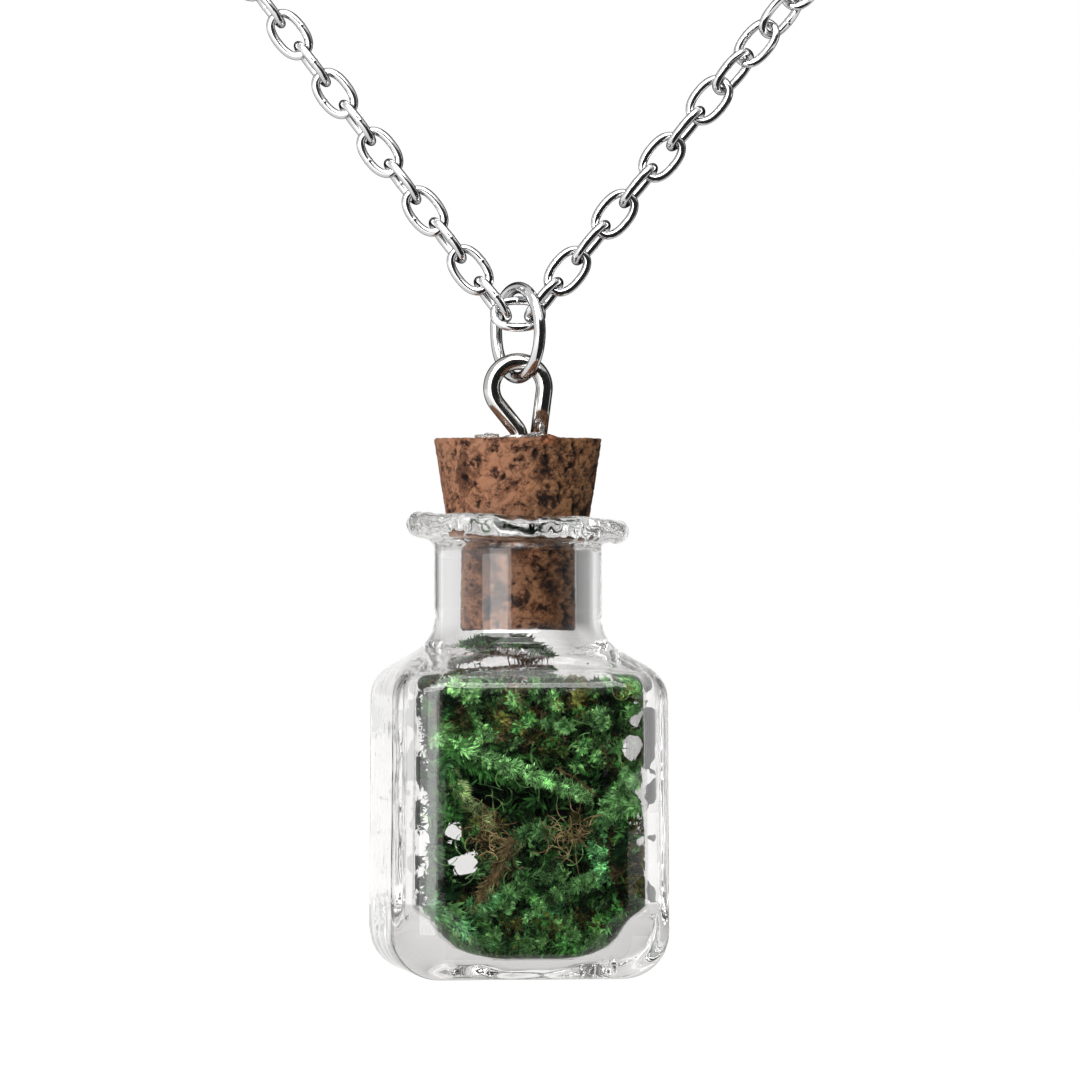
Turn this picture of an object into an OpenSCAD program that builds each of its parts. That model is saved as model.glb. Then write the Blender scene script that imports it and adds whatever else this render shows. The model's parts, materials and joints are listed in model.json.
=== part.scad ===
// Small square glass bottle of moss with a cork, hung by a screw eye and a jump ring
// on a whole cable chain. The origin is the middle of the back of the chain, where it
// rests on the nape of the neck. Up is +Z and the pendant's front faces -Y.

/* [Bottle] */
// Width and depth of the glass body low down
bottle_w = 16.4; // [16:0.1:19]
// How much narrower the body is under its shoulders
body_draft = 0.2; // [0:0.1:0.8]
// Height of the glass from its base to the top of the lip
bottle_h = 27; // [25:0.5:34]
// Turn of the body about its upright axis, in degrees
bottle_turn = 8; // [0:1:45]
// Radius of the upright corners of the body
corner_r = 3; // [2.4:0.1:4]
// Radius of the edge round the base
foot_r = 2.8; // [0.8:0.1:3]
// Radius of the rounded shoulder
shoulder_r = 2.6; // [2:0.1:3]
// Slope of the shoulder where it turns into the neck, in degrees
shoulder_slope = 35; // [25:1:45]
// Thickness of the side walls
wall = 1.25; // [1:0.05:1.7]
// Thickness of the base at its middle
base_t = 1.1; // [0.8:0.1:2]
// Height over which the round floor turns into the square walls
floor_rise = 3.1; // [1:0.1:4]

/* [Neck] */
// Outer diameter of the neck
neck_d = 9.86; // [9.5:0.1:11]
// Bore of the neck
bore_d = 6.9; // [6:0.1:7.4]
// Height from the foot of the neck to the top of the lip
neck_h = 6; // [5:0.1:8]
// Radius of the hollow between shoulder and neck
neck_fillet = 2.2; // [1.6:0.1:2.4]
// Outer diameter of the lip
lip_d = 13.1; // [12.4:0.1:14]
// Thickness of the lip
lip_t = 1.4; // [1:0.1:2]
// Diameter of the mouth at the top of the lip
mouth_d = 8.6; // [8:0.1:9]
// Depth of the flare from the mouth down to the bore
mouth_depth = 1.7; // [1:0.1:2.5]

/* [Cork] */
// Diameter of the top of the cork
cork_d = 9.9; // [9.2:0.1:12]
// Height of the cork above the lip
cork_above = 4.6; // [3:0.1:7]
// Length of the cork below the top of the lip
cork_in = 6.8; // [5:0.1:7.5]

/* [Screw eye] */
// Wire of the screw eye
eye_wire = 1; // [0.8:0.05:1.2]
// Outer width of its loop
eye_w = 4.1; // [3.9:0.1:5]
// Height of the loop above the cork
eye_h = 5; // [4.6:0.1:6]
// Depth of the shank in the cork
shank_depth = 6; // [4:0.5:8]
// Distance from the loop's middle to the shank
shank_offset = 0.1; // [0:0.05:0.15]
// Distance from the loop's middle to the free end of the wire
tail_offset = 1.2; // [1.2:0.05:1.3]

/* [Jump ring] */
// Outer diameter of the jump ring
ring_d = 6; // [5.8:0.1:7]
// Wire of the jump ring
ring_wire = 0.7; // [0.6:0.05:0.8]
// Turn of the ring from the picture plane, in degrees
ring_turn = 61; // [50:1:75]
// Opening of its split, in degrees
ring_split = 3; // [1:0.5:6]
// Height of the split above the ring's middle, in degrees
split_at = 19; // [10:1:30]

/* [Chain] */
// Outer length of a link
link_l = 3.28; // [3.1:0.02:3.4]
// Outer width of a link
link_w = 2.2; // [2.1:0.02:2.3]
// Wire of the links
link_wire = 0.5; // [0.4:0.02:0.52]
// Length of the whole loop, clasp included
loop_l = 450; // [430:5:450]
// Angle of the right side of the front V from upright, in degrees
angle_right = 39.7; // [38:0.1:41]
// Angle of the left side of the front V from upright, in degrees
angle_left = 37.5; // [36:0.1:39]

/* [Clasp] */
// Wire of the hook of the clasp
clasp_wire = 1; // [0.8:0.05:1.2]
// Outer width of the hook
clasp_w = 5; // [4.4:0.1:6]
// Outer diameter of the small eye on the clasp
clasp_eye_d = 2.8; // [2.6:0.1:3]
// Wire of that eye
clasp_eye_wire = 0.8; // [0.7:0.05:0.9]
// Outer diameter of the ring that the clasp closes on
end_ring_d = 4.6; // [4.4:0.1:5]
// Wire of that ring
end_ring_wire = 0.7; // [0.6:0.05:0.75]

/* [Moss] */
// Depth of the lumps in the clump of moss
lump = 0.6; // [0.2:0.05:0.8]
// Thickness of the leafy strands on the clump
strand_d = 1.7; // [1.2:0.1:2]

/* [Clearances] */
// Gap between links, and between rings and what they hold
link_gap = 0.1; // [0.1:0.01:0.12]
// Gap between the cork and the glass
cork_gap = 0.05; // [0.03:0.01:0.1]
// Gap between the shank and the cork
shank_gap = 0.03; // [0.02:0.01:0.05]
// Gap between the moss and the glass
moss_gap = 0.15; // [0.1:0.05:0.3]

/* [Hidden] */
glass_color = [0.86, 0.92, 0.92, 0.4];
moss_color = [0.13, 0.36, 0.12];
cork_color = [0.62, 0.42, 0.29];
steel_color = [0.78, 0.78, 0.8];

// Chain route. The front bottom is the middle of the link that lies in the jump ring.
front = [0, -121.6, -86];
// Straight length of each side of the V
v_len = 38;
// Points of the right side from the end of the V to the nape; the left side mirrors them
route = [[37.3, -118.8, -45], [50.5, -107, -33], [58.3, -80, -23], [56.8, -47.5, -12.5],
    [42.2, -17, -4], [18.6, -2.2, -0.5], [0, 0, 0]];
// The middle of the neck, seen from above, that the links face away from
neck_y = -62;
// Steps of the curve between two points of the route
route_steps = 12;

pitch = link_l - 2 * link_wire - link_gap;
// The first links sit closer to the middle one, because the chain bends there
bend_slack = 2.7 * link_gap;
first_joint = pitch / 2 - bend_slack;
// Roll of the middle link, and how far the links seen edge-on lean from it
middle_roll = 20;
link_lean = 18;
// The right side twists by this much between these two links
right_twist = 40;
twist_from = 5;
twist_to = 10;

// Heights, counted from the middle link
ring_r = (ring_d - ring_wire) / 2;
ring_top = link_w / 2 + ring_wire / 2 + link_gap;
ring_z = ring_top - ring_r;
ring_bottom = ring_z - ring_r;
eye_r = (eye_w - eye_wire) / 2;
eye_top = ring_bottom + ring_wire / 2 + link_gap + eye_wire;
eye_z = eye_top - eye_wire / 2 - eye_r;
cork_top = eye_top - eye_h;
base_z = cork_top - cork_above - bottle_h;

// Half widths and levels of the glass, counted from its base
foot_w = bottle_w / 2;
top_w = foot_w - body_draft / 2;
neck_r = neck_d / 2;
bore_r = bore_d / 2;
neck_z = bottle_h - neck_h;
arc_steps = 5;
corner_steps = 11;
// Steps round the loop of the screw eye, and sides of its wire
loop_steps = 28;
wire_sides = 20;

function mix(a, b, k) = a + (b - a) * k;
function smooth(k) = let (c = min(1, max(0, k))) c * c * (3 - 2 * c);
function unit(v) = v / norm(v);

// A section is [height, half width, corner radius]. A round one has a corner radius
// equal to its half width.
function corner_points(s) =
    [for (q = [0:3], j = [0:corner_steps - 1])
        let (a = 90 * (q + (j + 0.5) / corner_steps), c = s[1] - s[2])
        [sign(cos(90 * q + 45)) * c + s[2] * cos(a), sign(sin(90 * q + 45)) * c + s[2] * sin(a), s[0]]];

// Skin through rings of equal count, closed by a flat face at each end
module skin(rings) {
    n = len(rings[0]);
    m = len(rings);
    polyhedron(
        points = [for (r = rings, p = r) p],
        faces = concat(
            [[for (j = [0:n - 1]) j]],
            [[for (j = [n - 1:-1:0]) (m - 1) * n + j]],
            [for (i = [0:m - 2], j = [0:n - 1])
                [i * n + j, (i + 1) * n + j, i * n + (j + 1) % n]],
            [for (i = [0:m - 2], j = [0:n - 1])
                [i * n + (j + 1) % n, (i + 1) * n + j, (i + 1) * n + (j + 1) % n]]),
        convexity = 6);
}

// Shoulder from the side wall up to a round neck: a round corner, a slope and a hollow
function shoulder(half_w, edge_r, corner, neck, hollow) =
    let (
        mid = neck + hollow,
        low = neck_z - hollow * cos(shoulder_slope),
        slope_in = mid - hollow * sin(shoulder_slope),
        slope_out = half_w - corner * (1 - sin(shoulder_slope)),
        wall_z = low - (slope_out - slope_in) * tan(shoulder_slope) - corner * cos(shoulder_slope))
    concat(
        [for (i = [0:arc_steps])
            let (
                u = mix(90, shoulder_slope, i / arc_steps),
                a = half_w - corner * (1 - sin(u)))
            [wall_z + corner * cos(u), a, mix(edge_r, a, smooth((half_w - a) / (half_w - slope_in)))]],
        [for (i = [0:arc_steps])
            let (t = mix(shoulder_slope, 90, i / arc_steps), a = mid - hollow * sin(t))
            [neck_z - hollow * cos(t), a, a]]);

// Least radius of the upright corners where they run into the round foot
foot_corner = 0.2;
glass_outside = concat(
    [for (i = [0:arc_steps])
        let (t = 90 * i / arc_steps, inset = foot_r * (1 - sin(t)))
        [foot_r * (1 - cos(t)), foot_w - inset, max(foot_corner, corner_r - inset)]],
    shoulder(top_w, corner_r, shoulder_r, neck_r, neck_fillet));

// Round rim: out under the lip, round its edge and over the top into the mouth
lip_round = lip_t / 2;
lip_edge = lip_d / 2 - lip_round;
lip_fillet = neck_fillet / 4;
lip = concat(
    [[bottle_h - lip_t - lip_fillet, neck_r, neck_r],
        [bottle_h - lip_t, neck_r + lip_fillet, neck_r + lip_fillet]],
    [for (i = [0:2 * arc_steps])
        let (t = 180 * i / (2 * arc_steps) - 90, a = lip_edge + lip_round * cos(t))
        [bottle_h - lip_round + lip_round * sin(t), a, a]]);
mouth = [for (i = [0:arc_steps])
    let (t = 90 * i / arc_steps, a = mix(mouth_d / 2, bore_r, sin(t)))
    [bottle_h - mouth_depth * (1 - cos(t)), a, a]];

// The hollow follows the outside at the thickness of the walls, and where it turns into
// the bore its radius grows by this share of the neck's wall
inner_growth = 0.4;
inner_shoulder = shoulder(top_w - wall, corner_r - wall, shoulder_r - wall, bore_r,
    neck_fillet + inner_growth * (neck_r - bore_r));
floor_z = base_t + floor_rise;
// The floor is round and its wall steep, and the corners are filled with glass. The
// columns are the height as a share of the rise, the half width as a share of the
// hollow's, and how round the section is.
floor_shares = [[0, 0.66, 1], [0.05, 0.8, 0.8], [0.16, 0.9, 0.5], [0.35, 0.95, 0.35],
    [0.65, 0.98, 0.22], [1, 1, 0]];
bowl = concat(
    [for (f = floor_shares)
        let (a = (foot_w - wall) * f[1])
        [base_t + floor_rise * f[0], a, mix(corner_r - wall, a, f[2])]],
    [[floor_z + wall / 2, foot_w - wall, corner_r - wall]]);

function reversed(v) = [for (i = [len(v) - 1:-1:0]) v[i]];

module bottle() {
    color(glass_color)
        translate(front + [0, 0, base_z]) rotate([0, 0, bottle_turn])
            skin([for (s = concat(glass_outside, lip, mouth, reversed(inner_shoulder), reversed(bowl)))
                corner_points(s)]);
}

// The clump fills the hollow, follows it at a gap and is drawn in by lumps
tuft_h = 0.9;
moss_peak = bottle_h - cork_in - moss_gap;
moss_top = moss_peak - tuft_h;
// Least radius of the corners of its sections
moss_corner = 0.5;
function lumps(a, z) = 0.5 + 0.2 * sin(3 * a + 70 * z) + 0.17 * sin(7 * a - 110 * z + 40)
    + 0.13 * sin(11 * a + 190 * z);
moss_sections = concat(
    [for (s = bowl) [s[0] + moss_gap * 1.5, s[1] - moss_gap, max(moss_corner, s[2] - moss_gap)]],
    [for (k = [0.15:0.14:0.99])
        [mix(floor_z, inner_shoulder[0][0], k), mix(foot_w, top_w, k) - wall - moss_gap,
            corner_r - wall - moss_gap]],
    [for (s = inner_shoulder)
        if (s[0] < moss_top)
            [s[0] - moss_gap, s[1] - moss_gap, s[2] - moss_gap]],
    [for (k = [0.35, 0.7, 1])
        let (a = (bore_r - moss_gap) * sqrt(1.05 - k * k)) [mix(moss_top, moss_peak, k), a, a]]);
module moss() {
    color(moss_color)
        translate(front + [0, 0, base_z]) rotate([0, 0, bottle_turn]) {
            skin([for (s = moss_sections)
                [for (p = corner_points(s))
                    let (k = 1 - lump * lumps(atan2(p.y, p.x), s[0]) / foot_w)
                    [p.x * k, p.y * k, p.z]]]);
            for (side = [0:3], row = strands)
                strand(side, row);
        }
}

// Leafy strands that lie against each side of the glass. The columns are the start,
// middle and end across and up, as shares of the hollow's half width and height.
strands = [
    [-0.72, 0.68, -0.15, 0.63, 0.62, 0.42],
    [0.78, 0.5, 0.55, 0.3, 0.3, 0.12],
    [-0.6, 0.6, -0.5, 0.42, -0.1, 0.3],
    [-0.7, 0.1, -0.1, 0.06, 0.5, 0.22],
    [-0.5, 0.86, 0.1, 0.9, 0.7, 0.8],
];
strand_steps = 4;
module strand(side, row) {
    reach = foot_w - wall - moss_gap - strand_d / 2 - body_draft / 2;
    rise = inner_shoulder[0][0] - floor_z;
    turn = side * 90;
    flip = side % 2 == 0 ? 1 : -1;
    function place(k) =
        let (
            a = [row[0], row[1]],
            b = [row[2], row[3]],
            c = [row[4], row[5]],
            p = a * (1 - k) * (1 - k) + b * 2 * k * (1 - k) + c * k * k)
        [flip * p.x * (reach - corner_r / 3), -reach, floor_z + p.y * rise];
    function thick(k) = strand_d * (0.62 + 0.38 * sin(180 * (0.1 + 0.8 * k)));
    rotate([0, 0, turn])
        for (i = [0:strand_steps - 1])
            hull() {
                translate(place(i / strand_steps)) sphere(d = thick(i / strand_steps), $fn = 8);
                translate(place((i + 1) / strand_steps))
                    sphere(d = thick((i + 1) / strand_steps), $fn = 8);
            }
}

// The cork tapers above the lip, follows the mouth and is straight in the bore
module cork() {
    bottom = cork_top - cork_above - cork_in;
    color(cork_color)
        translate(front) difference() {
            rotate_extrude($fn = 96)
                polygon(concat([[0, bottom], [bore_r - cork_gap, bottom]],
                    [for (m = reversed(mouth)) [m[1] - 2 * cork_gap, m[0] + base_z]],
                    [[cork_d / 2, cork_top], [0, cork_top]]));
            translate([shank_offset, 0, cork_top - shank_depth - cork_gap])
                cylinder(d = eye_wire + 2 * shank_gap, h = shank_depth + 1, $fn = 32);
        }
}

// Wire paths in the plane of x and z. A place is [x, z, heading], and a heading is the
// angle from z towards x. A bend turns towards x where its angle is positive.
function ahead(place, distance) =
    [place[0] + distance * sin(place[2]), place[1] + distance * cos(place[2]), place[2]];
function bend(place, r, angle, steps) =
    let (s = sign(angle))
    [for (i = [0:steps])
        let (h = place[2] + angle * i / steps)
        [place[0] + s * r * (cos(place[2]) - cos(h)), place[1] - s * r * (sin(place[2]) - sin(h)), h]];

// Height of the first bend above the cork, as a share of the wire
bend_share = 0.35;
// One bent wire: the shank, a bend to the left, the loop and its free end
module screw_eye() {
    tip = [shank_offset, cork_top + bend_share * eye_wire];
    tail = [tail_offset, cork_top + link_gap];
    to_tip = [-tip.x, eye_z - tip.y];
    to_tail = [-tail.x, eye_z - tail.y];
    left = asin(eye_r / norm(to_tip)) + atan2(tip.x, to_tip.y);
    right = asin(eye_r / norm(to_tail)) - atan2(tail.x, to_tail.y);
    elbow = eye_wire * tan(left / 2);
    bottom = [tip.x, cork_top - shank_depth, 0];
    turn_out = bend([tip.x, tip.y - elbow, 0], eye_wire, -left, 4);
    side = ahead(turn_out[4], sqrt(to_tip * to_tip - eye_r * eye_r) - elbow);
    loop = bend(side, eye_r, 180 + left + right, loop_steps);
    end = ahead(loop[loop_steps], sqrt(to_tail * to_tail - eye_r * eye_r));
    color(steel_color)
        translate(front)
            skin([for (p = concat([bottom], turn_out, loop, [end]))
                [for (i = [0:wire_sides - 1])
                    let (a = 360 * i / wire_sides, out = eye_wire / 2 * cos(a))
                    [p[0] + out * cos(p[2]), -eye_wire / 2 * sin(a), p[1] - out * sin(p[2])]]]);
}

// Ring with a split, turned so that the side towards the viewer is on the right
module jump_ring() {
    color(steel_color)
        translate(front + [0, 0, ring_z]) rotate([90, 0, -ring_turn])
            rotate([0, 0, 180 - split_at + ring_split / 2])
                rotate_extrude(angle = 360 - ring_split, $fn = 96)
                    translate([ring_r, 0]) circle(d = ring_wire, $fn = 32);
}

// Curve through four points, between the second and the third
function curve(a, b, c, d, t) = (2 * b + (c - a) * t + (2 * a - 5 * b + 4 * c - d) * t * t
    + (3 * b - a - 3 * c + d) * t * t * t) / 2;

// Half of the route, from beside the middle link to the nape, as close points
function half_route(side, angle) =
    let (
        along = [side * sin(angle), 0, cos(angle)],
        start = front + [side * first_joint, 0, 0],
        turn = start + along * v_len,
        rest = [for (p = route) [side * p.x, p.y, p.z]],
        last = rest[len(rest) - 1],
        before = rest[len(rest) - 2],
        knots = concat([turn - along * norm(rest[0] - turn), turn], rest,
            [[-before.x, before.y, before.z]]))
    concat([start],
        [for (i = [1:len(knots) - 3], j = [0:route_steps - 1])
            curve(knots[i - 1], knots[i], knots[i + 1], knots[i + 2], j / route_steps)],
        [last]);
function lengths(p) =
    [for (i = 0, s = 0; i < len(p); i = i + 1, s = s + (i < len(p) ? norm(p[i] - p[i - 1]) : 0)) s];
function joints(side, angle) =
    let (p = half_route(side, angle), s = lengths(p), n = len(p) - 1)
    [for (k = [0:side_links])
        [for (axis = [0:2]) lookup(k * pitch, [for (i = [0:n]) [s[i], p[i][axis]]])]];

// An even count on each side leaves room for the clasp and its ring at the nape
clasp_room = 2 * clasp_w;
side_links = 2 * floor((loop_l - clasp_room - 2 * first_joint) / (4 * pitch));
right_joints = joints(1, angle_right);
left_joints = joints(-1, angle_left);
function link_roll(side, k) = (k % 2 == 0 ? 90 + side * link_lean : 0)
    + (side > 0 ? right_twist * smooth((k - twist_from) / (twist_to - twist_from)) : 0);

// Long oval of round wire: two half rings and two straight sides
module oval(length, width, wire) {
    r = (width - wire) / 2;
    straight = length - width;
    for (end = [1, -1])
        translate([0, 0, end * straight / 2]) rotate([end * 90, 0, 0])
            rotate_extrude(angle = 180, $fn = 24) translate([r, 0]) circle(d = wire, $fn = 16);
    for (end = [1, -1])
        translate([end * r, 0, -straight / 2]) cylinder(d = wire, h = straight, $fn = 16);
}

// Frame from one joint to the next: z runs along it, and y faces away from the neck
// before the roll turns it
module between(a, b, roll) {
    middle = (a + b) / 2;
    along = unit(b - a);
    away = unit([middle.x, middle.y - neck_y, 0]);
    face = unit(away - along * (away * along));
    across = cross(face, along);
    x = across * cos(roll) - face * sin(roll);
    y = face * cos(roll) + across * sin(roll);
    multmatrix([
        [x.x, y.x, along.x, middle.x],
        [x.y, y.y, along.y, middle.y],
        [x.z, y.z, along.z, middle.z],
        [0, 0, 0, 1]])
        children();
}

module chain_side(side, points) {
    for (k = [0:side_links - 1])
        between(points[k], points[k + 1], link_roll(side, k)) oval(link_l, link_w, link_wire);
}

module chain_left() {
    color(steel_color) {
        between(front - [pitch / 2, 0, 0], front + [pitch / 2, 0, 0], middle_roll)
            oval(link_l, link_w, link_wire);
        chain_side(-1, left_joints);
    }
}

module chain_right() {
    color(steel_color) chain_side(1, right_joints);
}

// What is left of the loop between the last links, measured from the right one
right_end = right_joints[side_links];
left_end = left_joints[side_links];
end_span = norm(left_end - right_end);
// How far a link's end wire reaches past its joint
link_reach = (link_wire + link_gap) / 2;
end_ring_r = (end_ring_d - end_ring_wire) / 2;
clasp_eye_r = (clasp_eye_d - clasp_eye_wire) / 2;
end_ring_far = end_span - link_reach + (link_wire + end_ring_wire) / 2 + link_gap;
end_ring_at = end_ring_far - end_ring_r;
hook_far = end_ring_at - end_ring_r + (end_ring_wire + clasp_wire) / 2 + link_gap;
clasp_eye_at = link_reach - (link_wire + clasp_eye_wire) / 2 - link_gap + clasp_eye_r;
hook_near = clasp_eye_at + clasp_eye_r;

// Places children at a distance along the line from the right end to the left end
module along_clasp(distance, roll) {
    between(right_end, left_end, roll) translate([0, 0, distance - end_span / 2]) children();
}

module end_ring() {
    color(steel_color)
        along_clasp(end_ring_at, 90) rotate([90, 0, 0])
            rotate_extrude($fn = 48) translate([end_ring_r, 0]) circle(d = end_ring_wire, $fn = 24);
}

// Closed hook with a small eye at one end and a knob for the thumb, a little thinner
// than the hook's wire
knob_d = 0.9 * clasp_wire;
hook_middle = (hook_near + hook_far) / 2;
module clasp() {
    color(steel_color) {
        along_clasp(hook_middle, 0)
            oval(hook_far - hook_near + clasp_wire, clasp_w, clasp_wire);
        along_clasp(clasp_eye_at, 90 + right_twist) rotate([90, 0, 0])
            rotate_extrude($fn = 48) translate([clasp_eye_r, 0]) circle(d = clasp_eye_wire, $fn = 24);
        along_clasp(hook_middle, 0)
            translate([(clasp_w - clasp_wire) / 2, 0, 0]) rotate([0, 90, 0])
                cylinder(d = knob_d, h = clasp_wire, $fn = 24);
    }
}

bottle();
moss();
cork();
screw_eye();
jump_ring();
chain_left();
chain_right();
end_ring();
clasp();
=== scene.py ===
"""Looks of a small glass bottle of moss on a cable chain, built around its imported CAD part."""

import json
import math

import bpy
import numpy as np
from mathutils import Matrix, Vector, noise


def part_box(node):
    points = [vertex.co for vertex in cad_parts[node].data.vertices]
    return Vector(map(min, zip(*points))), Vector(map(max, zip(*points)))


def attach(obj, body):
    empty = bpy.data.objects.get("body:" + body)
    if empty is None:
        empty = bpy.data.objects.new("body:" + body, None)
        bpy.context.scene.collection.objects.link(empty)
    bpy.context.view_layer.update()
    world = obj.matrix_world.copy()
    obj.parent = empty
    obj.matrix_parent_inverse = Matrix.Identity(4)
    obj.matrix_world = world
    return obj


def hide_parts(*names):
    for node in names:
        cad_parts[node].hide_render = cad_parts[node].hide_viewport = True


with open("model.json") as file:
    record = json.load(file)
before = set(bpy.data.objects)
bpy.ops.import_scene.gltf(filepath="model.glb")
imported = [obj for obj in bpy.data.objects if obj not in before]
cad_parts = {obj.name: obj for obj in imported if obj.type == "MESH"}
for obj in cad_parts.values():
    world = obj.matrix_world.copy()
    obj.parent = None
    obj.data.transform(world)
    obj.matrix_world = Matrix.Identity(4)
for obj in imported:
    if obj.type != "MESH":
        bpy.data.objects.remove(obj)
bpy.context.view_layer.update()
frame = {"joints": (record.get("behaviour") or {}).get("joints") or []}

# Everything is worked out in millimetres and becomes metres when a mesh is made
MM = 0.001
SHARE = 1.0

# == Sizes, as in the CAD ==
FRONT = np.array(next(j["pos_m"] for j in frame["joints"] if j["name"] == "ring_swing")) / MM
BASE_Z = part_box("bottle")[0].z / MM
CORK_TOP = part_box("cork")[1].z / MM

BOTTLE_W, BODY_DRAFT, BOTTLE_H, BOTTLE_TURN = 16.4, 0.2, 27.0, 8.0
CORNER_R, FOOT_R, FOOT_CORNER, SHOULDER_R, SHOULDER_SLOPE = 3.0, 2.8, 0.2, 2.6, 35.0
WALL, BASE_T, FLOOR_RISE = 1.25, 1.1, 3.1
NECK_D, BORE_D, NECK_H, NECK_FILLET = 9.86, 6.9, 6.0, 2.2
LIP_D, LIP_T, MOUTH_D, MOUTH_DEPTH = 13.1, 1.4, 8.6, 1.7
CORK_D, CORK_ABOVE, CORK_IN, CORK_GAP = 9.9, 4.6, 6.8, 0.05
# The hand-formed mouth is a ledge, so that light is turned round inside the lip
FLARE_START, FLARE_DEPTH, FLARE_OUT = 0.25, 1.05, 0.05
EYE_WIRE, EYE_W, EYE_H, SHANK_DEPTH = 1.0, 4.1, 5.0, 6.0
SHANK_OFFSET, TAIL_OFFSET, SHANK_GAP = 0.1, 1.2, 0.03
RING_D, RING_WIRE, RING_TURN, RING_SPLIT, SPLIT_AT = 6.0, 0.7, 61.0, 3.0, 19.0
LINK_L, LINK_W, LINK_WIRE, LINK_GAP = 3.28, 2.2, 0.5, 0.1
LOOP_L, ANGLE_RIGHT, ANGLE_LEFT, V_LEN = 450.0, 39.7, 37.5, 38.0
CLASP_WIRE, CLASP_W, CLASP_EYE_D, CLASP_EYE_WIRE = 1.0, 5.0, 2.8, 0.8
END_RING_D, END_RING_WIRE = 4.6, 0.7
MIDDLE_ROLL, LINK_LEAN, RIGHT_TWIST, TWIST_FROM, TWIST_TO = 20.0, 18.0, 40.0, 5, 10
ROUTE = [(37.3, -118.8, -45), (50.5, -107, -33), (58.3, -80, -23), (56.8, -47.5, -12.5),
         (42.2, -17, -4), (18.6, -2.2, -0.5), (0, 0, 0)]
NECK_Y, ROUTE_STEPS = -62.0, 12
MOSS_GAP = 0.15

FOOT_W = BOTTLE_W / 2
TOP_W = FOOT_W - BODY_DRAFT / 2
NECK_R, BORE_R = NECK_D / 2, BORE_D / 2
NECK_Z = BOTTLE_H - NECK_H
FLOOR_Z = BASE_T + FLOOR_RISE
MOSS_PEAK = BOTTLE_H - CORK_IN - MOSS_GAP


# == Small helpers ==
def mix(a, b, k):
    return a + (b - a) * k


def smooth(k):
    k = np.clip(k, 0, 1)
    return k * k * (3 - 2 * k)


def unit(v):
    v = np.asarray(v, float)
    return v / np.maximum(np.linalg.norm(v, axis=-1, keepdims=True), 1e-9)


def sind(a):
    return math.sin(math.radians(a))


def cosd(a):
    return math.cos(math.radians(a))


def turned(points, degrees):
    """Points turned about the upright axis."""
    c, s = cosd(degrees), sind(degrees)
    p = np.array(points, float)
    return np.stack([p[:, 0] * c - p[:, 1] * s, p[:, 0] * s + p[:, 1] * c, p[:, 2]], 1)


def wobble(points, scale, seed=0.0):
    """Smooth noise from -1 to 1 at each point; scale is in millimetres."""
    off = Vector((seed * 7.3, seed * 3.1, seed * 5.7))
    return np.array([noise.noise(Vector(p) / scale + off) for p in points])


def round_angles(count):
    return np.linspace(0, 2 * np.pi, count, endpoint=False)


def circle(radius, angles, height):
    """Level ring of points round the upright axis."""
    return np.stack([radius * np.cos(angles), radius * np.sin(angles),
                     np.full(len(angles), height)], 1)


def outwards(points, core):
    """Distances from the upright axis, and level ways out, which are shorter in the core."""
    radius = np.linalg.norm(points[:, :2], axis=1)
    level = points[:, :2] / np.maximum(radius, core)[:, None]
    return radius, np.concatenate([level, np.zeros((len(points), 1))], 1)


def some(count):
    return int(count * SHARE)


def add_to_scene(obj):
    bpy.context.scene.collection.objects.link(obj)
    return obj


class Builder:
    """Gathers vertices and faces of one mesh."""

    def __init__(self):
        self.verts, self.faces, self.tones, self.count = [], [], [], 0

    def add(self, verts, faces, tone=None):
        verts = np.asarray(verts, np.float32).reshape(-1, 3)
        self.verts.append(verts)
        for f in faces:
            if len(f):
                self.faces.append(np.asarray(f, np.int64) + self.count)
        if tone is not None:
            self.tones.append(np.broadcast_to(np.asarray(tone, np.float32), (len(verts), 3)))
        self.count += len(verts)

    def make(self, name, material, body, slot, nodes=(), flat=False):
        mesh = bpy.data.meshes.new(name)
        verts = np.concatenate(self.verts) * MM
        mesh.vertices.add(len(verts))
        mesh.vertices.foreach_set("co", verts.astype(np.float32).ravel())
        loops = np.concatenate([f.ravel() for f in self.faces])
        sizes = np.concatenate([np.full(len(f), f.shape[1]) for f in self.faces])
        mesh.loops.add(len(loops))
        mesh.loops.foreach_set("vertex_index", loops)
        mesh.polygons.add(len(sizes))
        mesh.polygons.foreach_set("loop_start", np.concatenate([[0], np.cumsum(sizes)[:-1]]))
        mesh.polygons.foreach_set("use_smooth", np.full(len(sizes), not flat))
        mesh.update(calc_edges=True)
        mesh.validate()
        if self.tones:
            layer = mesh.attributes.new("tone", "FLOAT_COLOR", "POINT")
            tones = np.concatenate(self.tones)
            rgba = np.concatenate([tones, np.ones((len(tones), 1), np.float32)], 1)
            layer.data.foreach_set("color", rgba.ravel())
        obj = add_to_scene(bpy.data.objects.new(name, mesh))
        mesh.materials.append(material)
        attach(obj, body)
        if nodes:
            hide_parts(*nodes)


def grid_faces(rows, cols, wrap_rows=False):
    """Quads of a grid of rows by cols points, each row closed into a ring."""
    i, j = np.meshgrid(np.arange(rows if wrap_rows else rows - 1), np.arange(cols), indexing="ij")
    i2, j2 = (i + 1) % rows, (j + 1) % cols
    return np.stack([i * cols + j, i * cols + j2, i2 * cols + j2, i2 * cols + j], -1).reshape(-1, 4)


def fan(centre, ring, flip=False):
    """Triangles from one point to a closed ring of points."""
    tri = np.stack([np.full(len(ring), centre), ring, np.roll(ring, -1)], 1)
    return tri[:, ::-1] if flip else tri


def capped(rows, cols):
    """Faces of such a grid that is closed at its ends by the two points that follow it."""
    n, ring = rows * cols, np.arange(cols)
    return [grid_faces(rows, cols), fan(n, ring, flip=True), fan(n + 1, ring + n - cols)]


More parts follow.
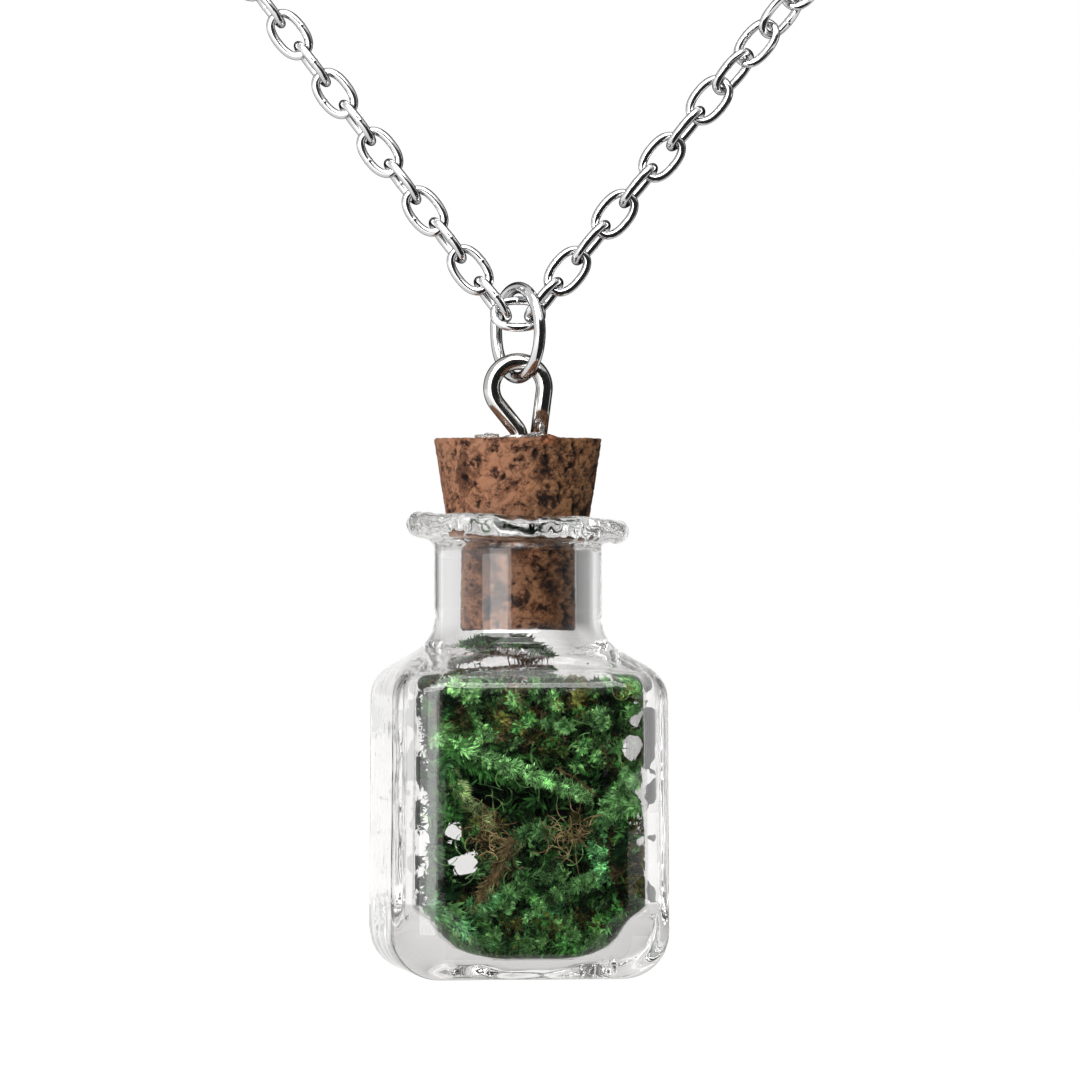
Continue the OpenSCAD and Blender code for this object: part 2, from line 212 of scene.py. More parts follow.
def tube(path, radius, sides, closed=False):
    """Round tube along a path, with frames carried from point to point."""
    p = np.asarray(path, float)
    n = len(p)
    d = unit(np.roll(p, -1, 0) - np.roll(p, 1, 0) if closed else np.gradient(p, axis=0))
    radius = np.broadcast_to(np.asarray(radius, float), (n,))
    upright = abs(d[0][2]) >= 0.9
    u = unit(np.cross(d[0], (1.0, 0.0, 0.0) if upright else (0.0, 0.0, 1.0)))
    us = []
    for ahead in d:
        u = unit(u - ahead * np.dot(u, ahead))
        us.append(u)
    us = np.array(us)
    vs = np.cross(d, us)
    a = round_angles(sides)
    ring = us[:, None] * np.cos(a)[None, :, None] + vs[:, None] * np.sin(a)[None, :, None]
    verts = (p[:, None] + ring * radius[:, None, None]).reshape(-1, 3)
    if closed:
        return verts, [grid_faces(n, sides, wrap_rows=True)]
    return np.concatenate([verts, p[:1], p[-1:]]), capped(n, sides)


def through(points, count):
    """Smooth curve through a few points."""
    p = np.asarray(points, float)
    p = np.concatenate([[2 * p[0] - p[1]], p, [2 * p[-1] - p[-2]]])
    t = np.linspace(0, len(p) - 3, count)
    i = np.minimum(t.astype(int), len(p) - 4)
    k = (t - i)[:, None]
    return spline(p[i], p[i + 1], p[i + 2], p[i + 3], k)


def spline(a, b, c, d, t):
    return (2 * b + (c - a) * t + (2 * a - 5 * b + 4 * c - d) * t * t
            + (3 * b - a - 3 * c + d) * t * t * t) / 2


# == Materials ==
def material(name, **values):
    """Principled material; uniform values sit on the shader's own sockets."""
    mat = bpy.data.materials.new(name)
    mat.use_nodes = True
    shader = mat.node_tree.nodes["Principled BSDF"]
    for key, value in values.items():
        shader.inputs[key.replace("_", " ")].default_value = value
    return mat, mat.node_tree, shader


def add_node(tree, kind, **values):
    node = tree.nodes.new("ShaderNode" + kind)
    for key, value in values.items():
        if hasattr(node, key):
            setattr(node, key, value)
        else:
            node.inputs[key.replace("_", " ")].default_value = value
    return node


def coordinates(tree):
    return add_node(tree, "TexCoord").outputs["Object"]


def grain(tree, scale, **values):
    """Noise that stays with the object, with features of about 1 / scale metres."""
    node = add_node(tree, "TexNoise", Scale=scale, **values)
    tree.links.new(coordinates(tree), node.inputs["Vector"])
    return node.outputs[0]


def times(tree, a, b):
    both = add_node(tree, "MixRGB", Fac=1.0, blend_type="MULTIPLY")
    tree.links.new(a, both.inputs[1])
    tree.links.new(b, both.inputs[2])
    return both.outputs[0]


def painted_tone(tree):
    """Tone that the mesh itself carries."""
    return add_node(tree, "Attribute", attribute_name="tone").outputs["Color"]


def ramp(tree, source, stops):
    node = add_node(tree, "ValToRGB")
    el = node.color_ramp.elements
    while len(el) > 1:
        el.remove(el[0])
    el[0].position, el[0].color = stops[0][0], (*stops[0][1], 1)
    for pos, col in stops[1:]:
        el.new(pos).color = (*col, 1)
    tree.links.new(source, node.inputs[0])
    return node.outputs[0]


def bump(tree, shader, height, strength, distance):
    node = add_node(tree, "Bump", Strength=strength, Distance=distance)
    tree.links.new(height, node.inputs["Height"])
    tree.links.new(node.outputs[0], shader.inputs["Normal"])


# What the steel keeps of its brightness where it is seen at a grazing angle: painted shade that
# darkens its outline
EDGE_TINT = (0.12, 0.12, 0.12)
# Painted shade towards the outline: where the base colour starts to dim, where it stops, and what
# share is left
DIM_FROM, DIM_TO, DIM_SHARE = 0.52, 0.80, 0.3


def steel(name, colour, roughness):
    """Bright plated wire with faint drawing marks and a little uneven polish."""
    mat, tree, shader = material(name, Base_Color=(*colour, 1), Metallic=1.0,
                                 Specular_Tint=(*EDGE_TINT, 1))
    polish = add_node(tree, "MapRange", To_Min=roughness * 0.6, To_Max=roughness * 1.8)
    tree.links.new(grain(tree, 2600.0, Detail=3.0), polish.inputs["Value"])
    tree.links.new(polish.outputs[0], shader.inputs["Roughness"])
    bump(tree, shader, grain(tree, 700.0, Detail=2.0), 0.12, 0.0001)
    # painted shade: the base colour darkens towards the wire's outline
    edge = add_node(tree, "LayerWeight", Blend=0.5).outputs["Facing"]
    dim = tuple(DIM_SHARE * c for c in colour)
    outline_shade_colour = ramp(tree, edge, [(0.0, colour), (DIM_FROM, colour), (DIM_TO, dim)])
    tree.links.new(outline_shade_colour, shader.inputs["Base Color"])
    return mat


def clear(name, tint, scale, strength, **values):
    """Clear material with a slightly uneven surface."""
    mat, tree, shader = material(name, Base_Color=(*tint, 1), **values)
    bump(tree, shader, grain(tree, scale, Detail=2.0), strength, 0.0002)
    return mat


def glass_material():
    return clear("glass", (0.93, 0.925, 0.92), 420.0, 0.06, Roughness=0.0, IOR=1.5,
                 Transmission_Weight=1.0)


def glue_material():
    return clear("clear_glue", (0.97, 0.97, 0.96), 1500.0, 0.3, Roughness=0.08, IOR=1.45,
                 Transmission_Weight=0.9)


def cork_material():
    """Cloudy browns of pressed granules, with dark flecks and granules' rims."""
    mat, tree, shader = material("cork", Roughness=0.85, Specular_IOR_Level=0.2)
    cloud = grain(tree, 420.0, Detail=8.0, Roughness=0.72, Distortion=0.4)
    base = ramp(tree, cloud, [
        (0.33, (0.06, 0.026, 0.014)), (0.43, (0.15, 0.070, 0.038)), (0.50, (0.32, 0.163, 0.096)),
        (0.60, (0.27, 0.137, 0.079)), (0.72, (0.46, 0.26, 0.165))])
    flecks = ramp(tree, grain(tree, 1150.0, Detail=6.0, Roughness=0.75), [
        (0.40, (0.08, 0.055, 0.045)), (0.47, (0.75, 0.72, 0.70)), (0.52, (1, 1, 1))])
    rims = ramp(tree, grain(tree, 650.0, Detail=4.0, Roughness=0.6, Distortion=1.2), [
        (0.44, (1, 1, 1)), (0.48, (0.62, 0.56, 0.52)), (0.52, (1, 1, 1))])
    colour = times(tree, times(tree, times(tree, base, flecks), rims), painted_tone(tree))
    tree.links.new(colour, shader.inputs["Base Color"])
    bump(tree, shader, cloud, 0.6, 0.0003)
    return mat


def moss_material():
    """Leaf colours from the mesh, with finer light and dark in each leaf."""
    mat, tree, shader = material("moss", Roughness=0.6, Specular_IOR_Level=0.06)
    shade = ramp(tree, grain(tree, 1800.0, Detail=2.0), [
        (0.3, (0.45, 0.45, 0.45)), (0.7, (1.4, 1.4, 1.4))])
    tree.links.new(times(tree, painted_tone(tree), shade), shader.inputs["Base Color"])
    return mat


# == Glass bottle ==
def square_reach(angles, half_w, corner):
    """How far a rounded square reaches from its middle at each angle."""
    cx, cy = np.abs(np.cos(angles)), np.abs(np.sin(angles))
    big, small = np.maximum(cx, cy), np.minimum(cx, cy)
    c = half_w - corner
    along = c * (big + small)
    arc = along + np.sqrt(np.maximum(along * along - 2 * c * c + corner * corner, 0))
    flat = half_w / big
    return np.where(flat * small <= c, flat, arc)


def shoulder(half_w, edge_r, corner, neck, hollow):
    """Rows of [height, half width, corner] from the side wall up to a round neck."""
    mid = neck + hollow
    low = NECK_Z - hollow * cosd(SHOULDER_SLOPE)
    slope_in = mid - hollow * sind(SHOULDER_SLOPE)
    slope_out = half_w - corner * (1 - sind(SHOULDER_SLOPE))
    slope_h = (slope_out - slope_in) * math.tan(math.radians(SHOULDER_SLOPE))
    wall_z = low - slope_h - corner * cosd(SHOULDER_SLOPE)
    rows = []
    for u in np.linspace(90, SHOULDER_SLOPE, ARC):
        a = half_w - corner * (1 - sind(u))
        round_off = float(smooth((half_w - a) / (half_w - slope_in)))
        rows.append((wall_z + corner * cosd(u), a, mix(edge_r, a, round_off)))
    for t in np.linspace(SHOULDER_SLOPE, 90, ARC):
        a = mid - hollow * sind(t)
        rows.append((NECK_Z - hollow * cosd(t), a, a))
    return rows


def dense(rows, step):
    """Extra rows where two neighbours lie far apart."""
    out = [rows[0]]
    for a, b in zip(rows, rows[1:]):
        n = max(1, int(math.ceil(math.hypot(b[0] - a[0], b[1] - a[1]) / step)))
        out += [tuple(mix(a[i], b[i], k / n) for i in range(3)) for k in range(1, n + 1)]
    return out


# Rows in each rounded part of a profile
ARC = 9
HOLLOW_W, HOLLOW_CORNER = FOOT_W - WALL, CORNER_R - WALL
# height as a share of the rise, half width as a share of the hollow's, and roundness
FLOOR_SHARES = [(0, 0.66, 1), (0.05, 0.8, 0.8), (0.16, 0.9, 0.5), (0.35, 0.95, 0.35),
                (0.65, 0.98, 0.22), (1, 1, 0)]
# How much of the neck's wall is added to the fillet where the hollow runs into the bore
INNER_GROWTH = 0.4
INNER_SHOULDER = shoulder(TOP_W - WALL, HOLLOW_CORNER, SHOULDER_R - WALL, BORE_R,
                          NECK_FILLET + INNER_GROWTH * (NECK_R - BORE_R))
BOWL = [(BASE_T + FLOOR_RISE * h, HOLLOW_W * w, mix(HOLLOW_CORNER, HOLLOW_W * w, k))
        for h, w, k in FLOOR_SHARES] + [(FLOOR_Z + WALL / 2, HOLLOW_W, HOLLOW_CORNER)]


def hollow_reach(points, gap):
    """How far the hollow reaches from its axis in the direction of each point."""
    heights, half_w, corner = np.array(sorted(BOWL + INNER_SHOULDER)).T
    angles = np.arctan2(points[:, 1], points[:, 0])
    return square_reach(angles, np.interp(points[:, 2], heights, half_w),
                        np.interp(points[:, 2], heights, corner)) - gap


def bottle_place(points):
    """From the bottle's own frame, base at zero, to the row frame."""
    return turned(points, BOTTLE_TURN) + FRONT * (1, 1, 0) + (0, 0, BASE_Z)


def funnel(gap=0.0):
    """Rows of [height, radius] from the mouth down its steep flare into the bore."""
    top = MOUTH_D / 2 + FLARE_OUT - gap
    rows = [(BOTTLE_H, top)]
    for k in np.linspace(0, 1, ARC):
        rows.append((BOTTLE_H - mix(FLARE_START, FLARE_DEPTH, k),
                     mix(top, BORE_R - gap, float(smooth(k)))))
    return rows


def glass_rows():
    """Rows of [height, half width, corner], up the outside, then down the inside."""
    under = [(0.0, k * (FOOT_W - FOOT_R), k * FOOT_CORNER) for k in (0.1, 0.35, 0.6, 0.85)]
    foot = []
    for a in np.linspace(0, 90, ARC + 4):
        inset = FOOT_R * (1 - sind(a))
        foot.append((FOOT_R * (1 - cosd(a)), FOOT_W - inset, max(FOOT_CORNER, CORNER_R - inset)))
    round_r, fillet = LIP_T / 2, NECK_FILLET / 4
    collar = [(BOTTLE_H - LIP_T - fillet * (1 - sind(a)), NECK_R + fillet * (1 - cosd(a)))
              for a in np.linspace(0, 90, 5)]
    lip = [(BOTTLE_H - round_r + round_r * sind(a), LIP_D / 2 - round_r + round_r * cosd(a))
           for a in np.linspace(-90, 90, 15)]
    _, floor_w, floor_r = BOWL[0]
    floor = [(BASE_T, floor_w * k, mix(floor_r, floor_w, 1 - k) * k) for k in (0.75, 0.45, 0.12)]

    def rounds(rows):
        return [(z, r, r) for z, r in rows]

    outer = under + foot + shoulder(TOP_W, CORNER_R, SHOULDER_R, NECK_R, NECK_FILLET)
    return (dense(outer + rounds(collar + lip), 0.7),
            dense(rounds(funnel()) + INNER_SHOULDER[::-1] + BOWL[::-1] + floor, 0.6))


# Unevenness of the glass in millimetres: wide and fine waves of the outside and the inside
WAVES_OUT, WAVES_IN = (0.04, 0.006), (0.05, 0.02)
# Dents of the bowl, streaks of the thick base inside and outside, and of its underside
DENTS, STREAKS_IN, STREAKS_OUT, STREAKS_UNDER = 0.04, 0.02, 0.012, 0.025
BASE_LIFT = 0.03
# The hand-formed lip: rise per millimetre across, waves and crinkles up and out, and hollows
LIP_TILT, LIP_WAVES, LIP_CRINKLES, LIP_HOLLOWS = -0.034, (0.15, 0.08), (0.08, 0.09), 0.1


def uneven(pts, inner):
    """Moulded walls with soft waves, a streaky base, and a tilted and crinkled lip."""
    radius, out = outwards(pts, 0.3)
    body = smooth((NECK_Z - 1 - pts[:, 2]) / 3)
    low = smooth((FLOOR_Z + 1.5 - pts[:, 2]) / 3)
    wide, fine = wobble(pts, 5.0, 1), wobble(pts, 1.9, 2)
    waves = np.where(inner, WAVES_IN[0] * wide + WAVES_IN[1] * fine,
                     WAVES_OUT[0] * wide + WAVES_OUT[1] * fine) * body
    # waves are stronger towards the corners
    waves *= 0.3 + 0.7 * np.sin(2 * np.arctan2(pts[:, 1], pts[:, 0])) ** 2
    pts = pts + out * waves[:, None]
    streak = wobble(pts * (0.35, 0.35, 1.6), 1.1, 3)
    pts[:, 2] += np.where(inner, DENTS * fine * low, 0.0)
    pts += out * (np.where(inner, STREAKS_IN, STREAKS_OUT) * streak * low)[:, None]
    under_side = (~inner) & (pts[:, 2] < 0.01)
    pts[under_side, 2] += BASE_LIFT + STREAKS_UNDER * streak[under_side]
    lip = np.where(inner, smooth((pts[:, 2] - BOTTLE_H + MOUTH_DEPTH) / MOUTH_DEPTH) * 0.35,
                   smooth((radius - NECK_R) / 0.9) * (pts[:, 2] > NECK_Z + 1.5))
    crinkle = wobble(pts, 0.8, 4)
    pts[:, 2] += lip * (LIP_TILT * pts[:, 0] + LIP_WAVES[0] * wobble(pts, 2.6, 5)
                        + LIP_CRINKLES[0] * crinkle)
    flare = inner * smooth((pts[:, 2] - BOTTLE_H + 1.15 * FLARE_DEPTH) / 0.3)
    hollows = LIP_HOLLOWS * smooth(0.5 + 1.1 * wobble(pts, 0.45, 7))
    rim = LIP_CRINKLES[1] * crinkle + LIP_WAVES[1] * wobble(pts, 2.2, 6)
    pts += out * (lip * ~inner * rim + flare * hollows)[:, None]
    return pts


def build_bottle(mat):
    cols = 264
    t = round_angles(cols)
    # columns lie closer together at the corners
    angles = t - 0.15 * np.sin(4 * (t - math.pi / 4))
    outer, inner = glass_rows()
    rows = outer + inner
    pts = np.concatenate([circle(square_reach(angles, a, min(r, a)), angles, z)
                          for z, a, r in rows])
    pts = uneven(pts, np.repeat(np.arange(len(rows)) >= len(outer), cols))
    ends = [(0, 0, 2 * BASE_LIFT), (0, 0, BASE_T)]
    build = Builder()
    build.add(bottle_place(np.concatenate([pts, ends])), capped(len(rows), cols))
    build.make("bottle_glass", mat, "pendant", "glass", ["bottle"])


# == Cork ==
CORK_LOW, CORK_HIGH = BOTTLE_H - CORK_IN, BOTTLE_H + CORK_ABOVE
HOLE_R, HOLE_Z = EYE_WIRE / 2 + SHANK_GAP, CORK_HIGH - SHANK_DEPTH - CORK_GAP
# Depth of pits and scratches, height of the fine grain, and how far the flake stands out
PIT, SCRATCH, GRAIN, FLAKE = 0.17, 0.05, 0.05, 0.18
# Tone of the flake on the top edge, at the front right, and its place: across, back, up
FLAKE_TONE, FLAKE_AT = (1.1, 0.82, 0.62), (1.8, -4.55, -0.15)


def cork_rows(step):
    """Rows of [height, radius, radius] from the bottom up the side, and down the hole."""
    rows = [(CORK_LOW, 0.0), (CORK_LOW, 1.2), (CORK_LOW, 2.4), (CORK_LOW, BORE_R - 0.12),
            (CORK_LOW + 0.12, BORE_R - CORK_GAP)]
    rows += funnel(2 * CORK_GAP)[::-1]
    rows += [(CORK_HIGH - 0.1, CORK_D / 2), (CORK_HIGH, CORK_D / 2 - 0.1),
             (CORK_HIGH, HOLE_R + 0.1), (CORK_HIGH - 0.08, HOLE_R), (HOLE_Z, HOLE_R), (HOLE_Z, 0.05)]
    # the first row is a point, which the cap makes
    return dense([(z, r, r) for z, r in rows], step)[1:]


def build_cork(mat):
    cols, step = ((300, 0.1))
    rows = cork_rows(step)
    pts = np.concatenate([circle(r, round_angles(cols), z) for z, r, _ in rows])
    radius, out = outwards(pts, 0.05)
    in_hole = (radius < HOLE_R + 0.05) & (pts[:, 2] > CORK_LOW + 0.5)
    out[(pts[:, 2] > CORK_HIGH - 0.02) & ~in_hole] = (0, 0, 1)
    out[pts[:, 2] < CORK_LOW + 0.02] = (0, 0, -1)
    # the right side is rougher and darker than the left
    right = smooth((pts[:, 0] + 1.5) / 5)
    patch = wobble(pts, 1.3, 12)
    pits = smooth((wobble(pts * (1, 1, 0.75), 0.40, 11) - 0.42 + 0.25 * patch + 0.16 * right) / 0.14)
    scratches = smooth((wobble(pts * (0.5, 0.5, 1.6), 0.22, 15) - 0.38 + 0.2 * right) / 0.15)
    relief = np.minimum(-PIT * pits - SCRATCH * scratches + GRAIN * wobble(pts, 0.3, 13) - 0.03, 0)
    relief = np.where(in_hole, 0, relief)
    x, y, z = (pts - FLAKE_AT - (0, 0, CORK_HIGH)).T
    flake = np.exp(-((x / 0.6) ** 2 + (y / 0.6) ** 2 + (z / 0.3) ** 4))
    relief = relief * (1 - flake) + FLAKE * flake
    pts = pts + out * relief[:, None]
    dark = (1 - 0.86 * np.maximum(pits, 0.65 * scratches)) * (1.04 - 0.32 * right)
    big = wobble(pts, 2.0, 14)
    tone = dark * np.stack([1.06 + 0.12 * big, 1.0 + 0.05 * big, 0.98 - 0.24 * right])
    tone = mix(tone.T, np.array(FLAKE_TONE), flake[:, None])
    pts = pts + np.array((SHANK_OFFSET, 0, 0)) * (in_hole | (radius < HOLE_R + 0.2))[:, None]
    ends = [(0, 0, CORK_LOW), (SHANK_OFFSET, 0, HOLE_Z)]
    base = CORK_TOP - CORK_HIGH
    build = Builder()
    build.add(np.concatenate([pts, ends]) + FRONT * (1, 1, 0) + (0, 0, base),
              capped(len(rows), cols), np.concatenate([tone, np.ones((2, 3))]))
    build.make("cork_stopper", mat, "pendant", "cork", ["cork"])


# == Wire parts ==
def build_eye(mat):
    """Shank, a bend to the left, the loop and its free end, as in the CAD."""
    loop_r = (EYE_W - EYE_WIRE) / 2
    ring_r = (RING_D - RING_WIRE) / 2
    ring_top = LINK_W / 2 + RING_WIRE / 2 + LINK_GAP
    eye_top = ring_top - 2 * ring_r + RING_WIRE / 2 + LINK_GAP + EYE_WIRE
    eye_z = eye_top - EYE_WIRE / 2 - loop_r
    cork_top = eye_top - EYE_H
    tip = np.array((SHANK_OFFSET, cork_top + 0.35 * EYE_WIRE))
    tail = np.array((TAIL_OFFSET, cork_top + LINK_GAP))
    to_tip, to_tail = np.array((0, eye_z)) - tip, np.array((0, eye_z)) - tail
    left = math.asin(loop_r / np.linalg.norm(to_tip)) + math.atan2(tip[0], to_tip[1])
    right = math.asin(loop_r / np.linalg.norm(to_tail)) - math.atan2(tail[0], to_tail[1])
    elbow = EYE_WIRE * math.tan(left / 2)

    def ahead(place, distance):
        x, z, heading = place
        return x + distance * math.sin(heading), z + distance * math.cos(heading), heading

    def bend(place, r, angle, steps):
        s = 1 if angle > 0 else -1
        return [(place[0] + s * r * (math.cos(place[2]) - math.cos(h)),
                 place[1] - s * r * (math.sin(place[2]) - math.sin(h)), h)
                for h in np.linspace(place[2], place[2] + angle, steps)]

    start = (tip[0], cork_top - SHANK_DEPTH, 0.0)
    turn_out = bend((tip[0], tip[1] - elbow, 0.0), EYE_WIRE, -left, 9)
    side = ahead(turn_out[-1], math.sqrt(to_tip @ to_tip - loop_r ** 2) - elbow)
    loop = bend(side, loop_r, math.pi + left + right, 72)
    end = ahead(loop[-1], math.sqrt(to_tail @ to_tail - loop_r ** 2))
    path = [start, ahead(start, 2.0), ahead(start, 4.0)] + turn_out + loop \
        + [ahead(loop[-1], 0.5), end]
    build = Builder()
    verts, faces = tube([(p[0], 0, p[1]) for p in path], EYE_WIRE / 2, 28)
    build.add(verts + FRONT, faces)
    build.make("eye_wire", mat, "pendant", "eye_steel", ["screw_eye"])


def ring_path(radius, count, start=0.0, sweep=360.0):
    a = np.radians(np.linspace(start, start + sweep, count, endpoint=sweep < 360))
    return np.stack([radius * np.cos(a), np.zeros(count), radius * np.sin(a)], 1)


def build_jump_ring(mat):
    radius = (RING_D - RING_WIRE) / 2
    ring_z = LINK_W / 2 + RING_WIRE / 2 + LINK_GAP - radius
    path = ring_path(radius, 120, 180 - SPLIT_AT + RING_SPLIT / 2, 360 - RING_SPLIT)
    step = smooth(1 - np.arange(len(path)) / 7)
    path *= (1 + 0.035 * step)[:, None]
    verts, faces = tube(path, RING_WIRE / 2, 28)
    build = Builder()
    build.add(turned(verts, -RING_TURN) + FRONT + (0, 0, ring_z), faces)
    build.make("split_ring", mat, "ring", "ring_steel", ["jump_ring"])


# == Chain ==
PITCH = LINK_L - 2 * LINK_WIRE - LINK_GAP
FIRST_JOINT = PITCH / 2 - 2.7 * LINK_GAP
# Links close enough to the front to be made finely
NEAR_LINKS = 12
SIDE_LINKS = 2 * int((LOOP_L - 2 * CLASP_W - 2 * FIRST_JOINT) / (4 * PITCH))


def half_route(side, angle):
    along = np.array((side * sind(angle), 0, cosd(angle)))
    start = FRONT + (side * FIRST_JOINT, 0, 0)
    turn = start + along * V_LEN
    rest = [np.array((side * x, y, z), float) for x, y, z in ROUTE]
    back = rest[-2] * (-1, 1, 1)
    knots = [turn - along * np.linalg.norm(rest[0] - turn), turn] + rest + [back]
    points = [start]
    for i in range(1, len(knots) - 2):
        points += [spline(*knots[i - 1:i + 3], j / ROUTE_STEPS) for j in range(ROUTE_STEPS)]
    return np.array(points + [rest[-1]])


def joints_along(side, angle):
    p = half_route(side, angle)
    s = np.concatenate([[0], np.cumsum(np.linalg.norm(np.diff(p, axis=0), axis=1))])
    k = np.arange(SIDE_LINKS + 1) * PITCH
    return np.stack([np.interp(k, s, p[:, i]) for i in range(3)], 1)


def link_roll(side, k):
    roll = 90 + side * LINK_LEAN if k % 2 == 0 else 0
    if side > 0:
        roll += RIGHT_TWIST * float(smooth((k - TWIST_FROM) / (TWIST_TO - TWIST_FROM)))
    return roll


def between(a, b, roll):
    """Axes and middle of a frame from one joint to the next, as in the CAD."""
    middle, along = (a + b) / 2, unit(b - a)
    away = unit(np.array((middle[0], middle[1] - NECK_Y, 0)))
    face = unit(away - along * (away @ along))
    across = np.cross(face, along)
    x = across * cosd(roll) - face * sind(roll)
    y = face * cosd(roll) + across * sind(roll)
    return np.stack([x, y, along]), middle


def oval_path(length, width, wire, count, power=2.35):
    """Rounded oval in the x-z plane, evenly spaced, starting in the middle of a long side."""
    t = np.linspace(0, 2 * np.pi, 721)
    c, s = np.cos(t), np.sin(t)
    x = (width - wire) / 2 * np.sign(c) * np.abs(c) ** (2 / power)
    z = (length - wire) / 2 * np.sign(s) * np.abs(s) ** (2 / power)
    way = np.concatenate([[0], np.cumsum(np.hypot(np.diff(x), np.diff(z)))])
    at = np.linspace(0, way[-1], count, endpoint=False)
    # closer points at the weld seam, where the path starts
    at = at - 0.45 * way[-1] / (2 * np.pi) * np.sin(2 * np.pi * at / way[-1])
    x, z = np.interp(at, way, x), np.interp(at, way, z)
    return np.stack([x, np.zeros(count), z], 1)


def oval(length, width, wire, count, sides, seam=0.0, power=2.35):
    path = oval_path(length, width, wire, count, power)
    near = np.exp(-(path[:, 2] / (0.11 * wire + 1e-6)) ** 2) * (path[:, 0] > 0)
    return tube(path, wire / 2 * (1 + seam * near), sides, closed=True)


def build_chain(name, side, angle, mat, node):
    build = Builder()
    joints = joints_along(side, angle)
    plain = oval(LINK_L, LINK_W, LINK_WIRE, 36, 11)
    near = oval(LINK_L, LINK_W, LINK_WIRE, 72, 22, 0.08)
    rng = np.random.default_rng(5 if side > 0 else 6)
    frames = [between(joints[k], joints[k + 1], link_roll(side, k)) for k in range(SIDE_LINKS)]
    if side < 0:
        step = np.array((PITCH / 2, 0, 0))
        frames.insert(0, between(FRONT - step, FRONT + step, MIDDLE_ROLL))
    for k, (axes, middle) in enumerate(frames):
        verts, faces = near if k < NEAR_LINKS else plain
        flip = -1 if rng.random() < 0.5 else 1
        build.add(verts * (flip, flip, 1) @ axes + middle, faces)
    build.make(name, mat, "chain", "chain_steel", [node])
    return joints[-1]


def build_clasp(mat_ring, right_end, left_end):
    span = np.linalg.norm(left_end - right_end)
    reach = (LINK_WIRE + LINK_GAP) / 2
    end_r = (END_RING_D - END_RING_WIRE) / 2
    eye_r = (CLASP_EYE_D - CLASP_EYE_WIRE) / 2
    end_at = span - reach + (LINK_WIRE + END_RING_WIRE) / 2 + LINK_GAP - end_r
    hook_far = end_at - end_r + (END_RING_WIRE + CLASP_WIRE) / 2 + LINK_GAP
    eye_at = reach - (LINK_WIRE + CLASP_EYE_WIRE) / 2 - LINK_GAP + eye_r
    hook_near = eye_at + eye_r

    def put(build, part, distance, roll):
        axes, middle = between(right_end, left_end, roll)
        verts, faces = part
        build.add((verts + (0, 0, distance - span / 2)) @ axes + middle, faces)

    ring = Builder()
    put(ring, tube(ring_path(end_r, 72), END_RING_WIRE / 2, 20, closed=True), end_at, 90)
    ring.make("nape_ring", mat_ring, "chain", "ring_steel", ["end_ring"])
    hook = Builder()
    middle = (hook_near + hook_far) / 2
    body = oval(hook_far - hook_near + CLASP_WIRE, CLASP_W, CLASP_WIRE, 72, 20, power=2.8)
    put(hook, body, middle, 0)
    eye = tube(ring_path(eye_r, 56), CLASP_EYE_WIRE / 2, 20, closed=True)
    put(hook, eye, eye_at, 90 + RIGHT_TWIST)
    knob_x = (CLASP_W - CLASP_WIRE) / 2
    knob_r = 0.45 * CLASP_WIRE
    knob = tube([(knob_x + s, 0, 0) for s in np.array((0, 0.5, 0.9, 0.97, 1)) * CLASP_WIRE],
                knob_r * np.array((1, 1, 1, 0.9, 0.7)), 20)
    put(hook, knob, middle, 0)
    hook.make("nape_clasp", mat_ring, "chain", "ring_steel", ["clasp"])


# == Moss ==
# Leaf colours, as linear red, green and blue
BRIGHT = np.array((0.23, 0.50, 0.18))
LEAF = np.array((0.19, 0.40, 0.13))
MID = np.array((0.06, 0.20, 0.045))
DEEP = np.array((0.006, 0.032, 0.007))
# near-black green, painted shade for moss deep in the clump, its heart and its dark silhouettes
BLACK = np.array((0.001, 0.004, 0.001))
COOL = np.array((0.14, 0.40, 0.15))
OLIVE = np.array((0.13, 0.14, 0.03))
BROWN = np.array((0.085, 0.060, 0.026))
TAN = np.array((0.40, 0.31, 0.15))
CRUMB = np.array((0.34, 0.20, 0.13))
LEAF_FACES = np.array([(0, 1, 2), (0, 2, 3), (0, 3, 1), (1, 3, 2)])
# Spread of the leaves of a tuft in degrees
TUFT_SPLAY = 62

# Where the front view passes the moss and shows daylight: across, up, half width, half height
GAPS = [(-3.2, 6.75, 0.85, 0.55), (-3.8, 8.5, 0.42, 0.6), (-4.9, 8.5, 0.2, 0.5),
        (6.6, 13.5, 0.5, 0.75), (6.85, 15.1, 0.35, 0.35)]
# The clump stands off the left wall this far across, and a few ragged bits cross the gap
EDGE_GAP, EDGE_BITS = -5.6, 0.26
# Room for leaves between a gap and the clump's dark heart
GAP_LINING = 0.8
# Leaves near that edge are in the shade
EDGE_SHADE = 0.35


def in_gap(points):
    """Whether points lie where the front view shows daylight through the moss."""
    x, z = points[:, 0] - FRONT[0], points[:, 2] - BASE_Z
    ragged = 0.28 * wobble(np.stack([z, z * 0, z * 0], 1), 0.55, 31) + 0.2 * wobble(points, 0.5, 32)
    edge = (x < EDGE_GAP + 1.6 * ragged) & (z > 3.5) & (z < 17)
    inside = edge & (wobble(points, 0.9, 33) < EDGE_BITS)
    for across, up, half_w, half_h in GAPS:
        inside |= ((x - across) / half_w) ** 2 + ((z - up) / half_h) ** 2 < 1 + ragged
    return inside


